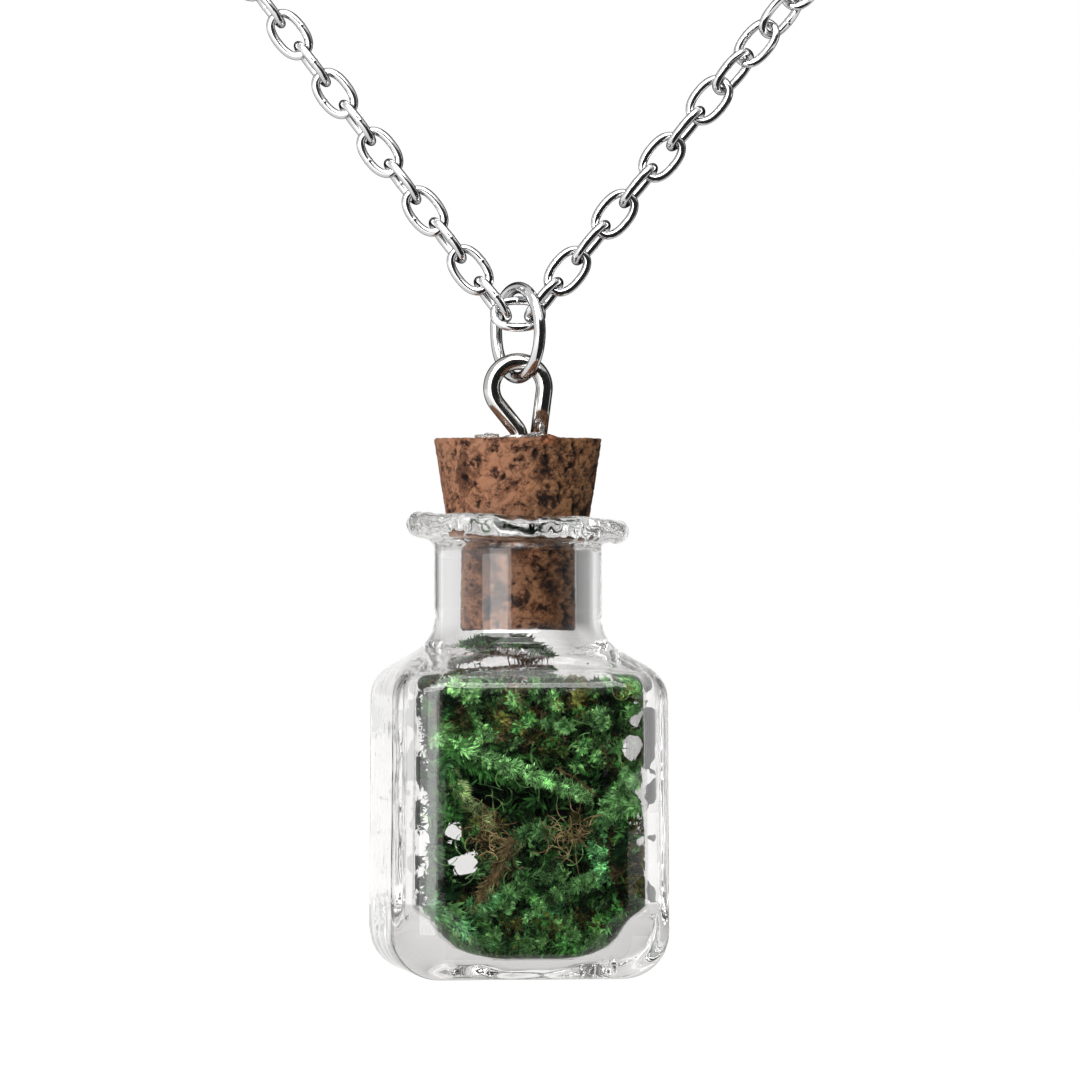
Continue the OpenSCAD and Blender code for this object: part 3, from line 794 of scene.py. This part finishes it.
class Moss:
    """Strands of small keeled leaves. Each leaf is a closed solid of four faces."""

    def __init__(self, seed):
        self.rng = np.random.default_rng(seed)
        self.build = Builder()
        self.gaps = True

    def keep_in(self, points, gap=0.2):
        p = np.array(points, float)
        p[:, 2] = np.clip(p[:, 2], BASE_T + 0.25, MOSS_PEAK - 0.08)
        reach = hollow_reach(p, gap)
        radius = np.maximum(np.linalg.norm(p[:, :2], axis=1), 1e-6)
        p[:, :2] *= np.minimum(1, reach / radius)[:, None]
        return p

    def stem(self, path, radius, colour):
        verts, faces = tube(path, radius * np.linspace(1, 0.5, len(path)), 5)
        if np.any(in_gap(bottle_place(verts))):
            return
        self.build.add(bottle_place(self.keep_in(verts)), faces, colour)

    def leaves(self, path, count, length, width, splay, colours, fluff=0.0, girth=0.05, taper=0.6):
        """Leaves set round a path; colours are (base colour, tip colour)."""
        rng = self.rng
        path = np.asarray(path, float)
        t = np.sort(rng.random(count)) * (len(path) - 1.001)
        i = t.astype(int)
        k = (t - i)[:, None]
        p = path[i] * (1 - k) + path[i + 1] * k
        d = unit(path[i + 1] - path[i])
        out = unit(np.cross(d, unit(rng.normal(size=(count, 3)))))
        splay_a = np.radians(splay + rng.normal(0, 13, count))[:, None]
        go = unit(d * np.cos(splay_a) + out * np.sin(splay_a)
                  + rng.normal(0, fluff + 0.05, (count, 3)))
        # Noise clumps that make leaves bigger or smaller, and in their tone lighter or darker as
        # painted light and shade
        clump_size_and_light = wobble(p, 0.55, 51)
        size = length * (0.6 + 0.8 * rng.random(count)) * (1 - taper * (t / len(path)) ** 3)
        size = (size * (1 + 0.7 * clump_size_and_light))[:, None]
        base = p + out * girth
        side = unit(np.cross(go, out))
        lift = unit(np.cross(side, go))
        tip = base + go * size + lift * size * 0.12
        middle = base + go * size * 0.42 - lift * size * 0.10
        half = side * size * width / 2
        quad = np.stack([base, middle + half, tip, middle - half], 1).reshape(-1, 3)
        light = np.clip(rng.normal(0.5, 0.33, count), 0, 1.3)[:, None]
        tone = (colours[0] * (1 - light) + colours[1] * light) * (1 + 1.1 * clump_size_and_light[:, None])
        tone = np.repeat(tone, 4, axis=0)
        # painted highlight on each leaf's tip, partly its own paler colour, and painted shade at its
        # base by the stem
        tone[2::4] *= 1.6
        tone[0::4] *= 0.25
        placed = bottle_place(self.keep_in(quad)).reshape(-1, 4, 3)
        corners = placed.reshape(-1, 3)
        across = corners[:, 0] - FRONT[0]
        tone = tone * mix(EDGE_SHADE, 1, smooth((across - EDGE_GAP) / 1.3))[:, None]
        kept = np.ones(count, bool)
        if self.gaps:
            kept = ~np.any(in_gap(corners).reshape(-1, 4), axis=1)
        faces = (LEAF_FACES[None] + 4 * np.arange(kept.sum())[:, None, None]).reshape(-1, 3)
        self.build.add(placed[kept], [faces], tone.reshape(-1, 4, 3)[kept].reshape(-1, 3))

    def shoots(self, path, count, reach, colours):
        """Short side shoots that make a strand feathery."""
        rng = self.rng
        for _ in range(count):
            i = rng.integers(len(path) - 1)
            ahead = unit(path[i + 1] - path[i])
            side = unit(np.cross(ahead, rng.normal(size=3)))
            size = reach * rng.uniform(0.6, 1.2)
            run = [path[i] + size * (k * (side + 0.8 * ahead) - 0.3 * k * k * side)
                   for k in (0, 0.5, 1)]
            shade = rng.uniform(0.4, 1.5)
            self.leaves(run, 60, 0.28, 0.4, 42, (colours[0] * shade, colours[1] * shade), 0.3, 0.03)

    def tuft(self, start, end, count, size, width, colours):
        """Small rosette of leaves that spread from a short stem."""
        self.leaves([start, end], count, size, width, TUFT_SPLAY, colours, 0.3, taper=0)

    def hairs(self, places, spread, count, length, colour):
        """Thin curly threads round a few places."""
        rng = self.rng
        for _ in range(count):
            at = np.array(places[rng.integers(len(places))]) + rng.normal(0, spread, 2)
            heading, turn = rng.uniform(0, 2 * np.pi), np.clip(rng.normal(0, 0.5), -0.55, 0.55)
            run = []
            for _ in range(9):
                run.append(at)
                at = at + length / 8 * np.array((math.cos(heading), math.sin(heading)))
                heading += turn * rng.uniform(0.2, 1.2)
            verts, faces = tube(front(run, rng.uniform(0.2, 0.6)), 0.028, 3)
            self.build.add(bottle_place(self.keep_in(verts)), faces, colour * rng.uniform(0.6, 1.3))


def wall_point(side, across, up, depth):
    """Point near one of the four walls: side 0 is the front."""
    reach = mix(FOOT_W, TOP_W, np.clip(up / NECK_Z, 0, 1)) - WALL - depth
    a = math.radians(90 * side)
    x, y = across, -reach
    return np.array((x * math.cos(a) - y * math.sin(a), x * math.sin(a) + y * math.cos(a), up))


def random_strand(rng, side, depth, length):
    """Gently curved run of points close to one wall."""
    across, up = rng.uniform(-6.2, 6.2), rng.uniform(1.5, 16.8)
    heading = rng.uniform(0, 2 * np.pi)
    turn = rng.normal(0, 0.5)
    points = []
    for k in range(9):
        top = 17.0 - 0.7 * (side > 0)
        points.append(wall_point(side, np.clip(across, -6.6, 6.6), np.clip(up, 1.4, top),
                                 depth + 0.25 * math.sin(k * 1.3 + heading)))
        across += math.cos(heading) * length / 8
        up += math.sin(heading) * length / 8
        heading += turn * 0.25 + rng.normal(0, 0.12)
    return np.array(points)


# Places on the front are counted from the middle of the outline that the front view shows
VIEW_MIDDLE = 0.24


def front(points, depth):
    """Points on the front wall from rows of seen across and up, at one depth or one each."""
    depth = np.broadcast_to(depth, (len(points),))
    aside = VIEW_MIDDLE, (FOOT_W - WALL) * sind(BOTTLE_TURN)
    return np.array([wall_point(0, (x + aside[0] - aside[1]) / cosd(BOTTLE_TURN), z, d)
                     for (x, z), d in zip(points, depth)])


# Strands that the front shows: places, depth, leaves, leaf length, leaf width as a share of
# its length, splay, radius at which the leaves start, colours at base and tip, side shoots
FRONDS = [
    ([(-5.1, 14.3), (-2.8, 13.3), (-0.5, 12.4), (1.8, 11.5), (4.1, 10.6)],
     0.65, 2600, 0.5, 0.2, 26, 0.2, (MID * 0.3, BRIGHT * 2.0), 90),
    ([(-4.3, 13.2), (-2.2, 12.4), (0.2, 11.4)], 1.1, 1200, 0.55, 0.2, 35, 0.2, (DEEP, MID * 1.3), 0),
    ([(-5.2, 14.9), (-4.2, 14.4), (-3.0, 14.1)], 0.6, 700, 0.5, 0.3, 40, 0.2, (MID * 0.7, LEAF), 10),
    ([(7.0, 11.9), (5.9, 11.2), (5.2, 10.2), (4.7, 9.2)],
     0.6, 900, 0.5, 0.3, 38, 0.2, (MID * 0.6, BRIGHT), 16),
    ([(6.9, 10.4), (6.0, 10.0), (5.0, 9.8)],
     0.7, 700, 0.55, 0.28, 38, 0.2, (MID * 0.6, BRIGHT * 0.9), 8),
    ([(4.8, 9.4), (4.3, 8.4), (4.4, 7.2), (4.7, 6.0)],
     0.5, 900, 0.35, 0.3, 48, 0.15, (DEEP * 1.4, COOL * 1.4), 30),
    ([(4.9, 6.2), (3.4, 5.6), (1.8, 4.9), (0.4, 4.0)],
     0.6, 1000, 0.35, 0.3, 45, 0.15, (MID * 0.6, BRIGHT * 1.1), 30),
    ([(2.6, 4.3), (1.0, 3.6), (-0.8, 3.3)], 0.8, 900, 0.42, 0.3, 45, 0.2, (DEEP, COOL * 1.2), 12),
    ([(-4.2, 12.4), (-3.6, 11.2), (-2.9, 10.2), (-1.9, 9.3)],
     0.6, 1300, 0.4, 0.2, 32, 0.2, (DEEP * 1.5, (COOL + TAN) * 0.8), 16),
    ([(-4.9, 11.6), (-4.6, 10.2), (-4.7, 9.2)], 0.8, 800, 0.5, 0.25, 38, 0.2, (DEEP, LEAF * 0.8), 0),
    ([(-5.0, 8.0), (-4.6, 6.4), (-5.2, 5.0)], 0.9, 900, 0.5, 0.25, 38, 0.2, (DEEP, MID * 1.4), 8),
    ([(1.9, 8.4), (0.5, 8.7), (-0.6, 7.6), (0.0, 6.2), (1.6, 6.1), (2.3, 7.2)],
     0.8, 1500, 0.4, 0.25, 42, 0.2, (DEEP * 1.6, BRIGHT * 0.8), 20),
    ([(-3.2, 4.0), (-2.2, 4.6), (-1.2, 5.2)],
     0.7, 1000, 0.45, 0.28, 38, 0.2, (DEEP * 1.5, COOL * 1.3), 8),
    ([(-1.2, 4.0), (-0.5, 5.2), (0.2, 5.8)], 0.7, 1000, 0.45, 0.28, 42, 0.2, (MID * 0.6, BRIGHT), 10),
    ([(-2.8, 6.0), (-2.2, 6.8), (-1.2, 7.2)],
     0.8, 900, 0.45, 0.28, 40, 0.2, (MID * 0.6, BRIGHT * 0.9), 6),
    ([(6.9, 7.6), (6.6, 6.0), (6.9, 4.9)],
     1.0, 900, 0.45, 0.2, 40, 0.2, (BROWN * 0.3, OLIVE * 0.9), 0),
    ([(-5.4, 4.6), (-4.0, 3.6), (-2.6, 2.6), (-1.0, 2.0)],
     0.7, 1300, 0.42, 0.28, 42, 0.25, (DEEP, COOL * 1.3), 8),
    ([(6.0, 4.2), (4.6, 3.2), (3.0, 2.3), (1.0, 1.9)],
     0.7, 1300, 0.42, 0.28, 42, 0.25, (DEEP, MID * 2.6), 8),
]
STRAND_FLUFF = 0.35
TWIGS = [
    # places, depth, radius at the start
    ([(-0.6, 8.3), (-1.1, 7.2), (-1.9, 5.6), (-2.9, 4.1)], 0.45, 0.30),
    ([(-0.7, 8.1), (-1.6, 8.4), (-1.9, 9.4)], 0.4, 0.06),
    ([(2.0, 12.4), (3.2, 11.7), (4.3, 10.8)], 0.1, 0.06),
]
# Brown and olive patches: across, up, spread, and how many strands
PATCHES = [(-3.1, 8.7, 0.7, 9), (-2.3, 8.7, 0.4, 4), (2.9, 8.9, 0.5, 4), (6.4, 7.6, 0.7, 12),
           (-0.8, 15.7, 0.9, 12), (1.0, 14.8, 0.8, 8), (-4.2, 15.4, 0.4, 5), (5.0, 13.0, 0.6, 8)]


def moss_front(mat):
    moss = Moss(21)
    rng = moss.rng
    for places, depth, count, length, width, splay, girth, colours, shoots in FRONDS:
        path = through(front(places, depth), 24)
        moss.stem(path, 0.09, colours[0] * 0.7)
        moss.leaves(path, some(count), length, width, splay, colours, STRAND_FLUFF, girth)
        moss.shoots(path, some(shoots), 0.7, colours)
    for places, depth, radius in TWIGS:
        path = through(front(places, depth), 26)
        path += 0.03 * rng.normal(size=path.shape)
        moss.stem(path, radius, BROWN * 2.0)
        moss.leaves(path, some(2600 * radius), 0.2 + radius, 0.07, 12, (BROWN * 0.6, TAN * 0.6),
                    0.12, girth=radius * 0.85)
    for x, z, spread, strands in PATCHES:
        for _ in range(strands):
            start = np.array((x, z)) + rng.normal(0, spread, 2)
            turn, bend = rng.uniform(0, 2 * np.pi), rng.normal(0, 0.6)
            ways = [turn + bend * k for k in range(4)]
            places = [start + 0.4 * k * np.array((math.cos(way), math.sin(way)))
                      for k, way in enumerate(ways)]
            tip = (OLIVE, BROWN * 1.4, TAN * 0.6)[rng.integers(3)]
            moss.leaves(through(front(places, rng.uniform(0.4, 0.8)), 10), some(90), 0.42, 0.14, 34,
                        (BROWN * 0.25, tip), 0.4)
    threads = [(-1.7, 8.9), (-1.4, 8.2), (-2.4, 8.2), (2.6, 8.8), (2.2, 7.9), (3.2, 9.4), (-0.9, 7.4)]
    moss.hairs(threads, 0.35, some(90), 1.3, TAN)
    moss.hairs([(0, 12), (-3, 15), (4, 9), (0, 5), (5, 14), (-4, 10)], 1.6, some(60), 1.6, LEAF)
    moss.build.make("moss_fronds", mat, "pendant", "moss", flat=True)


def moss_carpet(mat):
    """Short leafy tips above the long frond and along the floor."""
    moss = Moss(27)
    rng = moss.rng
    palettes = [(BROWN * 0.3, OLIVE), (DEEP, MID * 1.3), (MID * 0.5, LEAF), (DEEP, BRIGHT * 0.6)]

    def scatter(count, low, high, size, allowed, dark):
        places = np.stack([rng.uniform(low[0], high[0], count),
                           rng.uniform(low[1], high[1], count)], 1)
        lit = wobble(np.concatenate([places, np.zeros((count, 1))], 1), 0.75, 41)
        hue = wobble(np.concatenate([places, np.ones((count, 1))], 1), 1.6, 42)
        for place, light, tint in zip(places[:some(count)], lit, hue):
            # painted light and shade: clusters of lit tips between near-black hollows in shade
            if allowed(*place) and light > -0.28:
                base, tip = palettes[int(np.clip((tint + 0.45) * 4 + rng.normal(0, 0.7), 0, 3))]
                shade = dark * (0.35 + 2.1 * max(0, light + 0.1)) * rng.uniform(0.7, 1.3)
                at, = front([place], 0.75 - light)
                leaf = size * rng.uniform(0.7, 1.3)
                outward = 0.12 * (unit(at * (1, 1, 0)) + rng.normal(0, 0.35, 3))
                moss.tuft(at - outward, at + outward, 15, leaf, 0.5, (base * shade, tip * shade))

    # the last figure of each scatter is painted shade: the layers along the floor and under the
    # fronds are darker
    scatter(2300, (-5.6, 11.5), (7.4, 17.3), 0.27,
            lambda x, z: z > 14.9 - 0.37 * (x + 4.6) + 0.5 * max(0, x - 3), 1.0)
    scatter(600, (-4.8, 1.35), (4.8, 3.6), 0.30, lambda x, z: True, 0.75)
    scatter(300, (-5.4, 3.4), (7.2, 9.6), 0.28, lambda x, z: True, 0.6)
    moss.build.make("moss_tips", mat, "pendant", "moss", flat=True)


# How far the strands lie behind the front, right, back and left walls
DEPTHS = [(1.2, 2.3), (0.4, 2.2), (0.4, 2.2), (1.5, 2.3)]
EDGE_BIT_HEIGHTS = (15.6, 14.3, 13.4, 12.5, 10.1, 8.4, 7.4, 5.9, 4.6)


def moss_clump(mat):
    moss = Moss(33)
    rng = moss.rng
    # painted shade: a near-black solid as the dark heart of the clump, where its inside lies in shade
    rows, cols = 26, 40
    z = np.linspace(2.0, 16.6, rows)
    pts = np.concatenate([circle(1, round_angles(cols), h) for h in z])
    reach = hollow_reach(pts, 1.7) * (1 - 0.25 * (0.5 + 0.5 * wobble(pts * (4, 4, 1), 2.2, 9)))
    ends = smooth((pts[:, 2] - 1.6) / 1.5) * smooth((17.4 - pts[:, 2]) / 1.6)
    pts[:, :2] *= (np.maximum(reach, 0.5) * np.maximum(ends, 0.15))[:, None]
    pts = bottle_place(np.concatenate([pts, [(0, 0, z[0])], [(0, 0, z[-1])]]))
    for across, up, half_w, half_h in GAPS:
        side = np.sign(across)
        level = np.abs(pts[:, 2] - BASE_Z - up) < half_h + 0.5
        near = level & (side * (pts[:, 0] - FRONT[0] - across) > -half_w)
        pts[near, 0] = FRONT[0] + across - side * (half_w + GAP_LINING)
    moss.build.add(pts, capped(rows, cols), BLACK)
    palettes = [(BLACK, DEEP), (DEEP, MID), (DEEP * 0.8, MID), (MID * 0.7, BRIGHT * 0.6),
                (BROWN * 0.4, OLIVE * 0.6), (DEEP, COOL * 0.7)]
    for side, count in ((0, 62), (1, 56), (2, 56), (3, 84)):
        for k in range(count):
            path = random_strand(rng, side, rng.uniform(*DEPTHS[side]), rng.uniform(4, 8))
            colours = palettes[rng.integers(3 if side == 0 else len(palettes))]
            moss.stem(path, 0.07, colours[0])
            moss.leaves(path, some(170), 0.75, 0.36, 35, colours, 0.3)
    # ragged bits on the left wall, which the glass shows against the light
    moss.gaps = False
    for up in EDGE_BIT_HEIGHTS:
        start = np.array((rng.uniform(4.9, 6.0), up))
        steps = np.cumsum(rng.normal(0, 0.25, (5, 2)), axis=0)
        path = [wall_point(3, *(start + step), 0.3) for step in steps]
        moss.leaves(path, some(80), 0.45, 0.35, 55, (BLACK, DEEP * 1.5), 0.6)
    moss.gaps = True
    # the sprig under the cork
    for k in range(18):
        dry = k < 6
        y = rng.uniform(-1.6, 1.0) if dry else rng.uniform(-2.4, 0.6)
        drop = rng.uniform(0.9, 1.4) if dry else rng.uniform(-0.1, 0.55)
        path = through([(-4.2, y, 18.4), (-2.8, y, 19.2 - drop), (-1.2, y, 19.75 - drop),
                        (0.3, y, 19.4 - drop), (1.9, y, 18.4)], 16)
        # dry and brown on its underside
        colours = (BROWN * 0.5, CRUMB) if dry else (BLACK, MID * 0.9)
        moss.leaves(path, some(190), 0.35 if dry else 0.5, 0.32, 42, colours, 0.45)
    # tufts that line the heart where it makes room for the two large gaps, seen from the left
    for across, up, half_w, half_h in GAPS[:2]:
        for _ in range(some(40)):
            x = across + half_w + rng.uniform(0.3, GAP_LINING)
            z = up + rng.uniform(-1, 1) * (half_h + 0.7)
            place = turned([(x, rng.uniform(-5, 6), z)], -BOTTLE_TURN)[0]
            shade = rng.uniform(0.4, 1.4)
            moss.tuft(place, place - (0.2, 0, 0), 14, 0.6, 0.45, (DEEP * shade, MID * 1.4 * shade))
    # tufts on the underside, seen through the base
    for _ in range(some(130)):
        place = np.array((rng.uniform(-5.6, 5.6), rng.uniform(-5.6, 5.6), rng.uniform(1.5, 2.1)))
        shade = rng.uniform(0.4, 1.4)
        moss.tuft(place, place - (0, 0, 0.2), 14, 0.85, 0.45, (DEEP * shade, LEAF * shade))
    moss.build.make("moss_clump", mat, "pendant", "moss", ["moss"], flat=True)


# == Glue round the eye's foot ==
def build_glue(mat):
    build = Builder()
    rows, cols = 10, 20
    # across, back, width, depth, height, seed
    for x, y, w, d, h, seed in ((-1.75, -1.0, 0.75, 0.5, 0.28, 1), (1.05, -1.1, 0.6, 0.45, 0.34, 2),
                                (1.75, -0.7, 0.45, 0.4, 0.22, 3), (-0.1, -0.95, 0.9, 0.35, 0.2, 4),
                                (0.3, 1.1, 0.9, 0.5, 0.25, 5)):
        pts = np.concatenate([circle(cosd(t), round_angles(cols), sind(t))
                              for t in np.linspace(0, 90, rows)])
        bumpy = 1 + 0.35 * wobble(pts, 0.45, seed)
        pts = pts * bumpy[:, None] * (w, d, h) + (x, y, 0.0)
        n = len(pts)
        pts = np.concatenate([pts, [(x, y, -0.02)]])
        pts[:cols, 2] = -0.02
        faces = [grid_faces(rows, cols), fan(n, np.arange(cols), flip=True)]
        build.add(pts + FRONT * (1, 1, 0) + (0, 0, CORK_TOP), faces)
    build.make("glue_flakes", mat, "pendant", "glass")


# == Stage, light and camera ==
CAMERA_DISTANCE = 500.0
PX_PER_MM = 17.0
IMAGE = 1080
PIVOT_PX = (518, 314)


def build_stage():
    # the floor glows with its own tone, and a painted shadow darkens it under the pendant
    floor_mat, tree, shader = material("studio_floor", Roughness=0.9, Emission_Strength=0.42)
    away = add_node(tree, "VectorMath", operation="LENGTH")
    tree.links.new(coordinates(tree), away.inputs[0])
    tone = ramp(tree, away.outputs["Value"], FLOOR)
    tree.links.new(tone, shader.inputs["Base Color"])
    tree.links.new(tone, shader.inputs["Emission Color"])
    mesh = bpy.data.meshes.new("studio_floor")
    r, n = 4.0, 64
    z = (BASE_Z - 70) * MM
    mesh.from_pydata(circle(r, round_angles(n), z).tolist(), [], [list(range(n))])
    mesh.materials.append(floor_mat)
    stage = [add_to_scene(bpy.data.objects.new("studio_floor", mesh))]
    dark, _, _ = material("studio_flag", Base_Color=(0.015, 0.015, 0.016, 1), Roughness=1.0)
    for name, azimuth, elevation, distance, height, through_glass in FLAGS:
        mesh = flag_mesh(name, azimuth, elevation, distance, height)
        card = add_to_scene(bpy.data.objects.new(name, mesh))
        card.data.materials.append(dark)
        card.visible_camera = card.visible_shadow = card.visible_diffuse = False
        card.visible_transmission = through_glass
        stage.append(card)
    for name, azimuth, elevation, distance, width, height, radiance in SOFTBOXES:
        data = bpy.data.lights.new(name, "AREA")
        data.shape, data.size, data.size_y = "RECTANGLE", width, height
        data.energy = radiance * math.pi * width * height
        light = add_to_scene(bpy.data.objects.new(name, data))
        light.visible_diffuse = name not in GLINTS
        place = direction(azimuth, elevation) * distance
        light.location = place + Vector(FRONT * MM)
        light.rotation_euler = (-place).to_track_quat("-Z", "Y").to_euler()
        stage.append(light)


# Directions are seen from the pendant: azimuth from the viewer to the right, elevation up.
# name, azimuths, elevations, distance in metres, height of the middle in millimetres, and
# whether it shows through glass
FLAGS = [
    ("flag_back_right", (106, 160), (-65, 65), 0.7, 0, False),
    ("flag_back_left", (-158, -132), (-65, 65), 0.7, 0, False),
    ("flag_front_right", (3, 76), (-60, 26), 0.7, 0, False),
    ("flag_front_low", (4, 34), (-62, 12), 0.06, -33, True),
    ("flag_eye", (-12, 96), (-50, 34), 0.03, -6.4, False),
]
# Floor tone by distance in metres: painted shadow, a darker pool under the pendant, on a floor that
# glows with the same tone
FLOOR = [(0.25, (0.50, 0.495, 0.49)), (0.95, (0.96, 0.96, 0.96))]
# name, azimuth, elevation, distance, width, height, radiance
SOFTBOXES = [
    ("key_left", -31, 8, 0.75, 0.52, 0.85, 3.2),
    ("top_soft", 10, 68, 0.75, 0.6, 0.5, 2.0),
    ("lip_glint", -6, 46, 0.75, 1.1, 0.3, 7.0),
]
# Lights that only show as reflections
GLINTS = ("lip_glint",)
# Brightness of the room by azimuth, and how much that counts at each height from -1 to 1
ROOM = [(-180, 1.0), (-174, 1.0), (-165, 0.88), (-150, 0.84), (-95, 0.74), (-55, 0.8),
        (-14, 0.7), (2, 0.12), (10, 0.05), (58, 0.05), (85, 0.22), (120, 0.27), (150, 0.36),
        (166, 0.66), (174, 1.0), (180, 1.0)]
ROOM_HEIGHT = [(-0.95, 0.0), (-0.75, 1.0), (0.10, 1.0), (0.5, 0.0)]


def direction(azimuth, elevation):
    level = cosd(elevation)
    return Vector((sind(azimuth) * level, -cosd(azimuth) * level, sind(elevation)))


def flag_mesh(name, azimuth, elevation, distance, height):
    """Dark card bent round the pendant."""
    mesh = bpy.data.meshes.new(name)
    n = 12
    centre = Vector(FRONT * MM) + Vector((0, 0, height * MM))
    verts = [centre + direction(mix(*azimuth, k / n), e) * distance
             for e in elevation for k in range(n + 1)]
    mesh.from_pydata(verts, [], [[k, k + 1, n + k + 2, n + k + 1] for k in range(n)])
    return mesh


def build_world():
    """Pale room that is darker in front on the right, so that wires and glass read."""
    world = bpy.data.worlds.new("studio")
    bpy.context.scene.world = world
    world.use_nodes = True
    tree = world.node_tree
    parts = add_node(tree, "SeparateXYZ")
    tree.links.new(add_node(tree, "TexCoord").outputs["Generated"], parts.inputs[0])
    ahead = add_node(tree, "Math", operation="MULTIPLY")
    ahead.inputs[1].default_value = -1
    tree.links.new(parts.outputs[1], ahead.inputs[0])
    azimuth = add_node(tree, "Math", operation="ARCTAN2")
    tree.links.new(parts.outputs[0], azimuth.inputs[0])
    tree.links.new(ahead.outputs[0], azimuth.inputs[1])

    def from_range(source, low, high):
        node = add_node(tree, "MapRange", From_Min=low, From_Max=high)
        tree.links.new(source, node.inputs["Value"])
        return node.outputs[0]

    room = ramp(tree, from_range(azimuth.outputs[0], -math.pi, math.pi),
                [((a + 180) / 360, (v, v, v)) for a, v in ROOM])
    counts = ramp(tree, from_range(parts.outputs[2], -1, 1),
                  [((h + 1) / 2, (v, v, v)) for h, v in ROOM_HEIGHT])
    both = add_node(tree, "MixRGB")
    both.inputs[1].default_value = (0.68, 0.675, 0.67, 1)
    tree.links.new(counts, both.inputs[0])
    tree.links.new(room, both.inputs[2])
    tree.links.new(both.outputs[0], tree.nodes["Background"].inputs[0])


def build_camera():
    data = bpy.data.cameras.new("camera")
    camera = add_to_scene(bpy.data.objects.new("camera", data))
    x = FRONT[0] + (IMAGE / 2 - PIVOT_PX[0]) / PX_PER_MM
    z = FRONT[2] - (IMAGE / 2 - PIVOT_PX[1]) / PX_PER_MM
    camera.location = (x * MM, (FRONT[1] - CAMERA_DISTANCE) * MM, z * MM)
    camera.rotation_euler = (math.radians(90), 0, 0)
    data.sensor_width = 36.0
    data.lens = data.sensor_width * CAMERA_DISTANCE / (IMAGE / PX_PER_MM)
    data.clip_start, data.clip_end = 0.01, 20
    bpy.context.scene.camera = camera


def look_settings():
    scene = bpy.context.scene
    scene.view_settings.view_transform = "Standard"
    scene.view_settings.look = "None"
    scene.view_settings.exposure = 0.0
    cycles = scene.cycles
    cycles.use_denoising = True
    # light is trapped many times in the thick glass before it comes out again
    cycles.max_bounces, cycles.transmission_bounces = 28, 28
    cycles.glossy_bounces, cycles.diffuse_bounces = 20, 3
    cycles.caustics_refractive = True
    cycles.caustics_reflective = True
    cycles.blur_glossy = 0.4


# == Assembly ==
chain_steel = steel("chain_steel", (0.80, 0.80, 0.81), 0.10)
ring_steel = steel("ring_steel", (0.82, 0.82, 0.83), 0.09)
eye_steel = steel("eye_steel", (0.66, 0.65, 0.63), 0.10)
build_bottle(glass_material())
build_cork(cork_material())
build_eye(eye_steel)
build_jump_ring(ring_steel)
right_end = build_chain("links_right", 1, ANGLE_RIGHT, chain_steel, "chain_right")
left_end = build_chain("links_left", -1, ANGLE_LEFT, chain_steel, "chain_left")
build_clasp(ring_steel, right_end, left_end)
moss_green = moss_material()
moss_front(moss_green)
moss_carpet(moss_green)
moss_clump(moss_green)
build_glue(glue_material())
build_stage()
build_world()
build_camera()
look_settings()


def plain(bounds):
    return [[float(v) for v in corner] for corner in bounds]
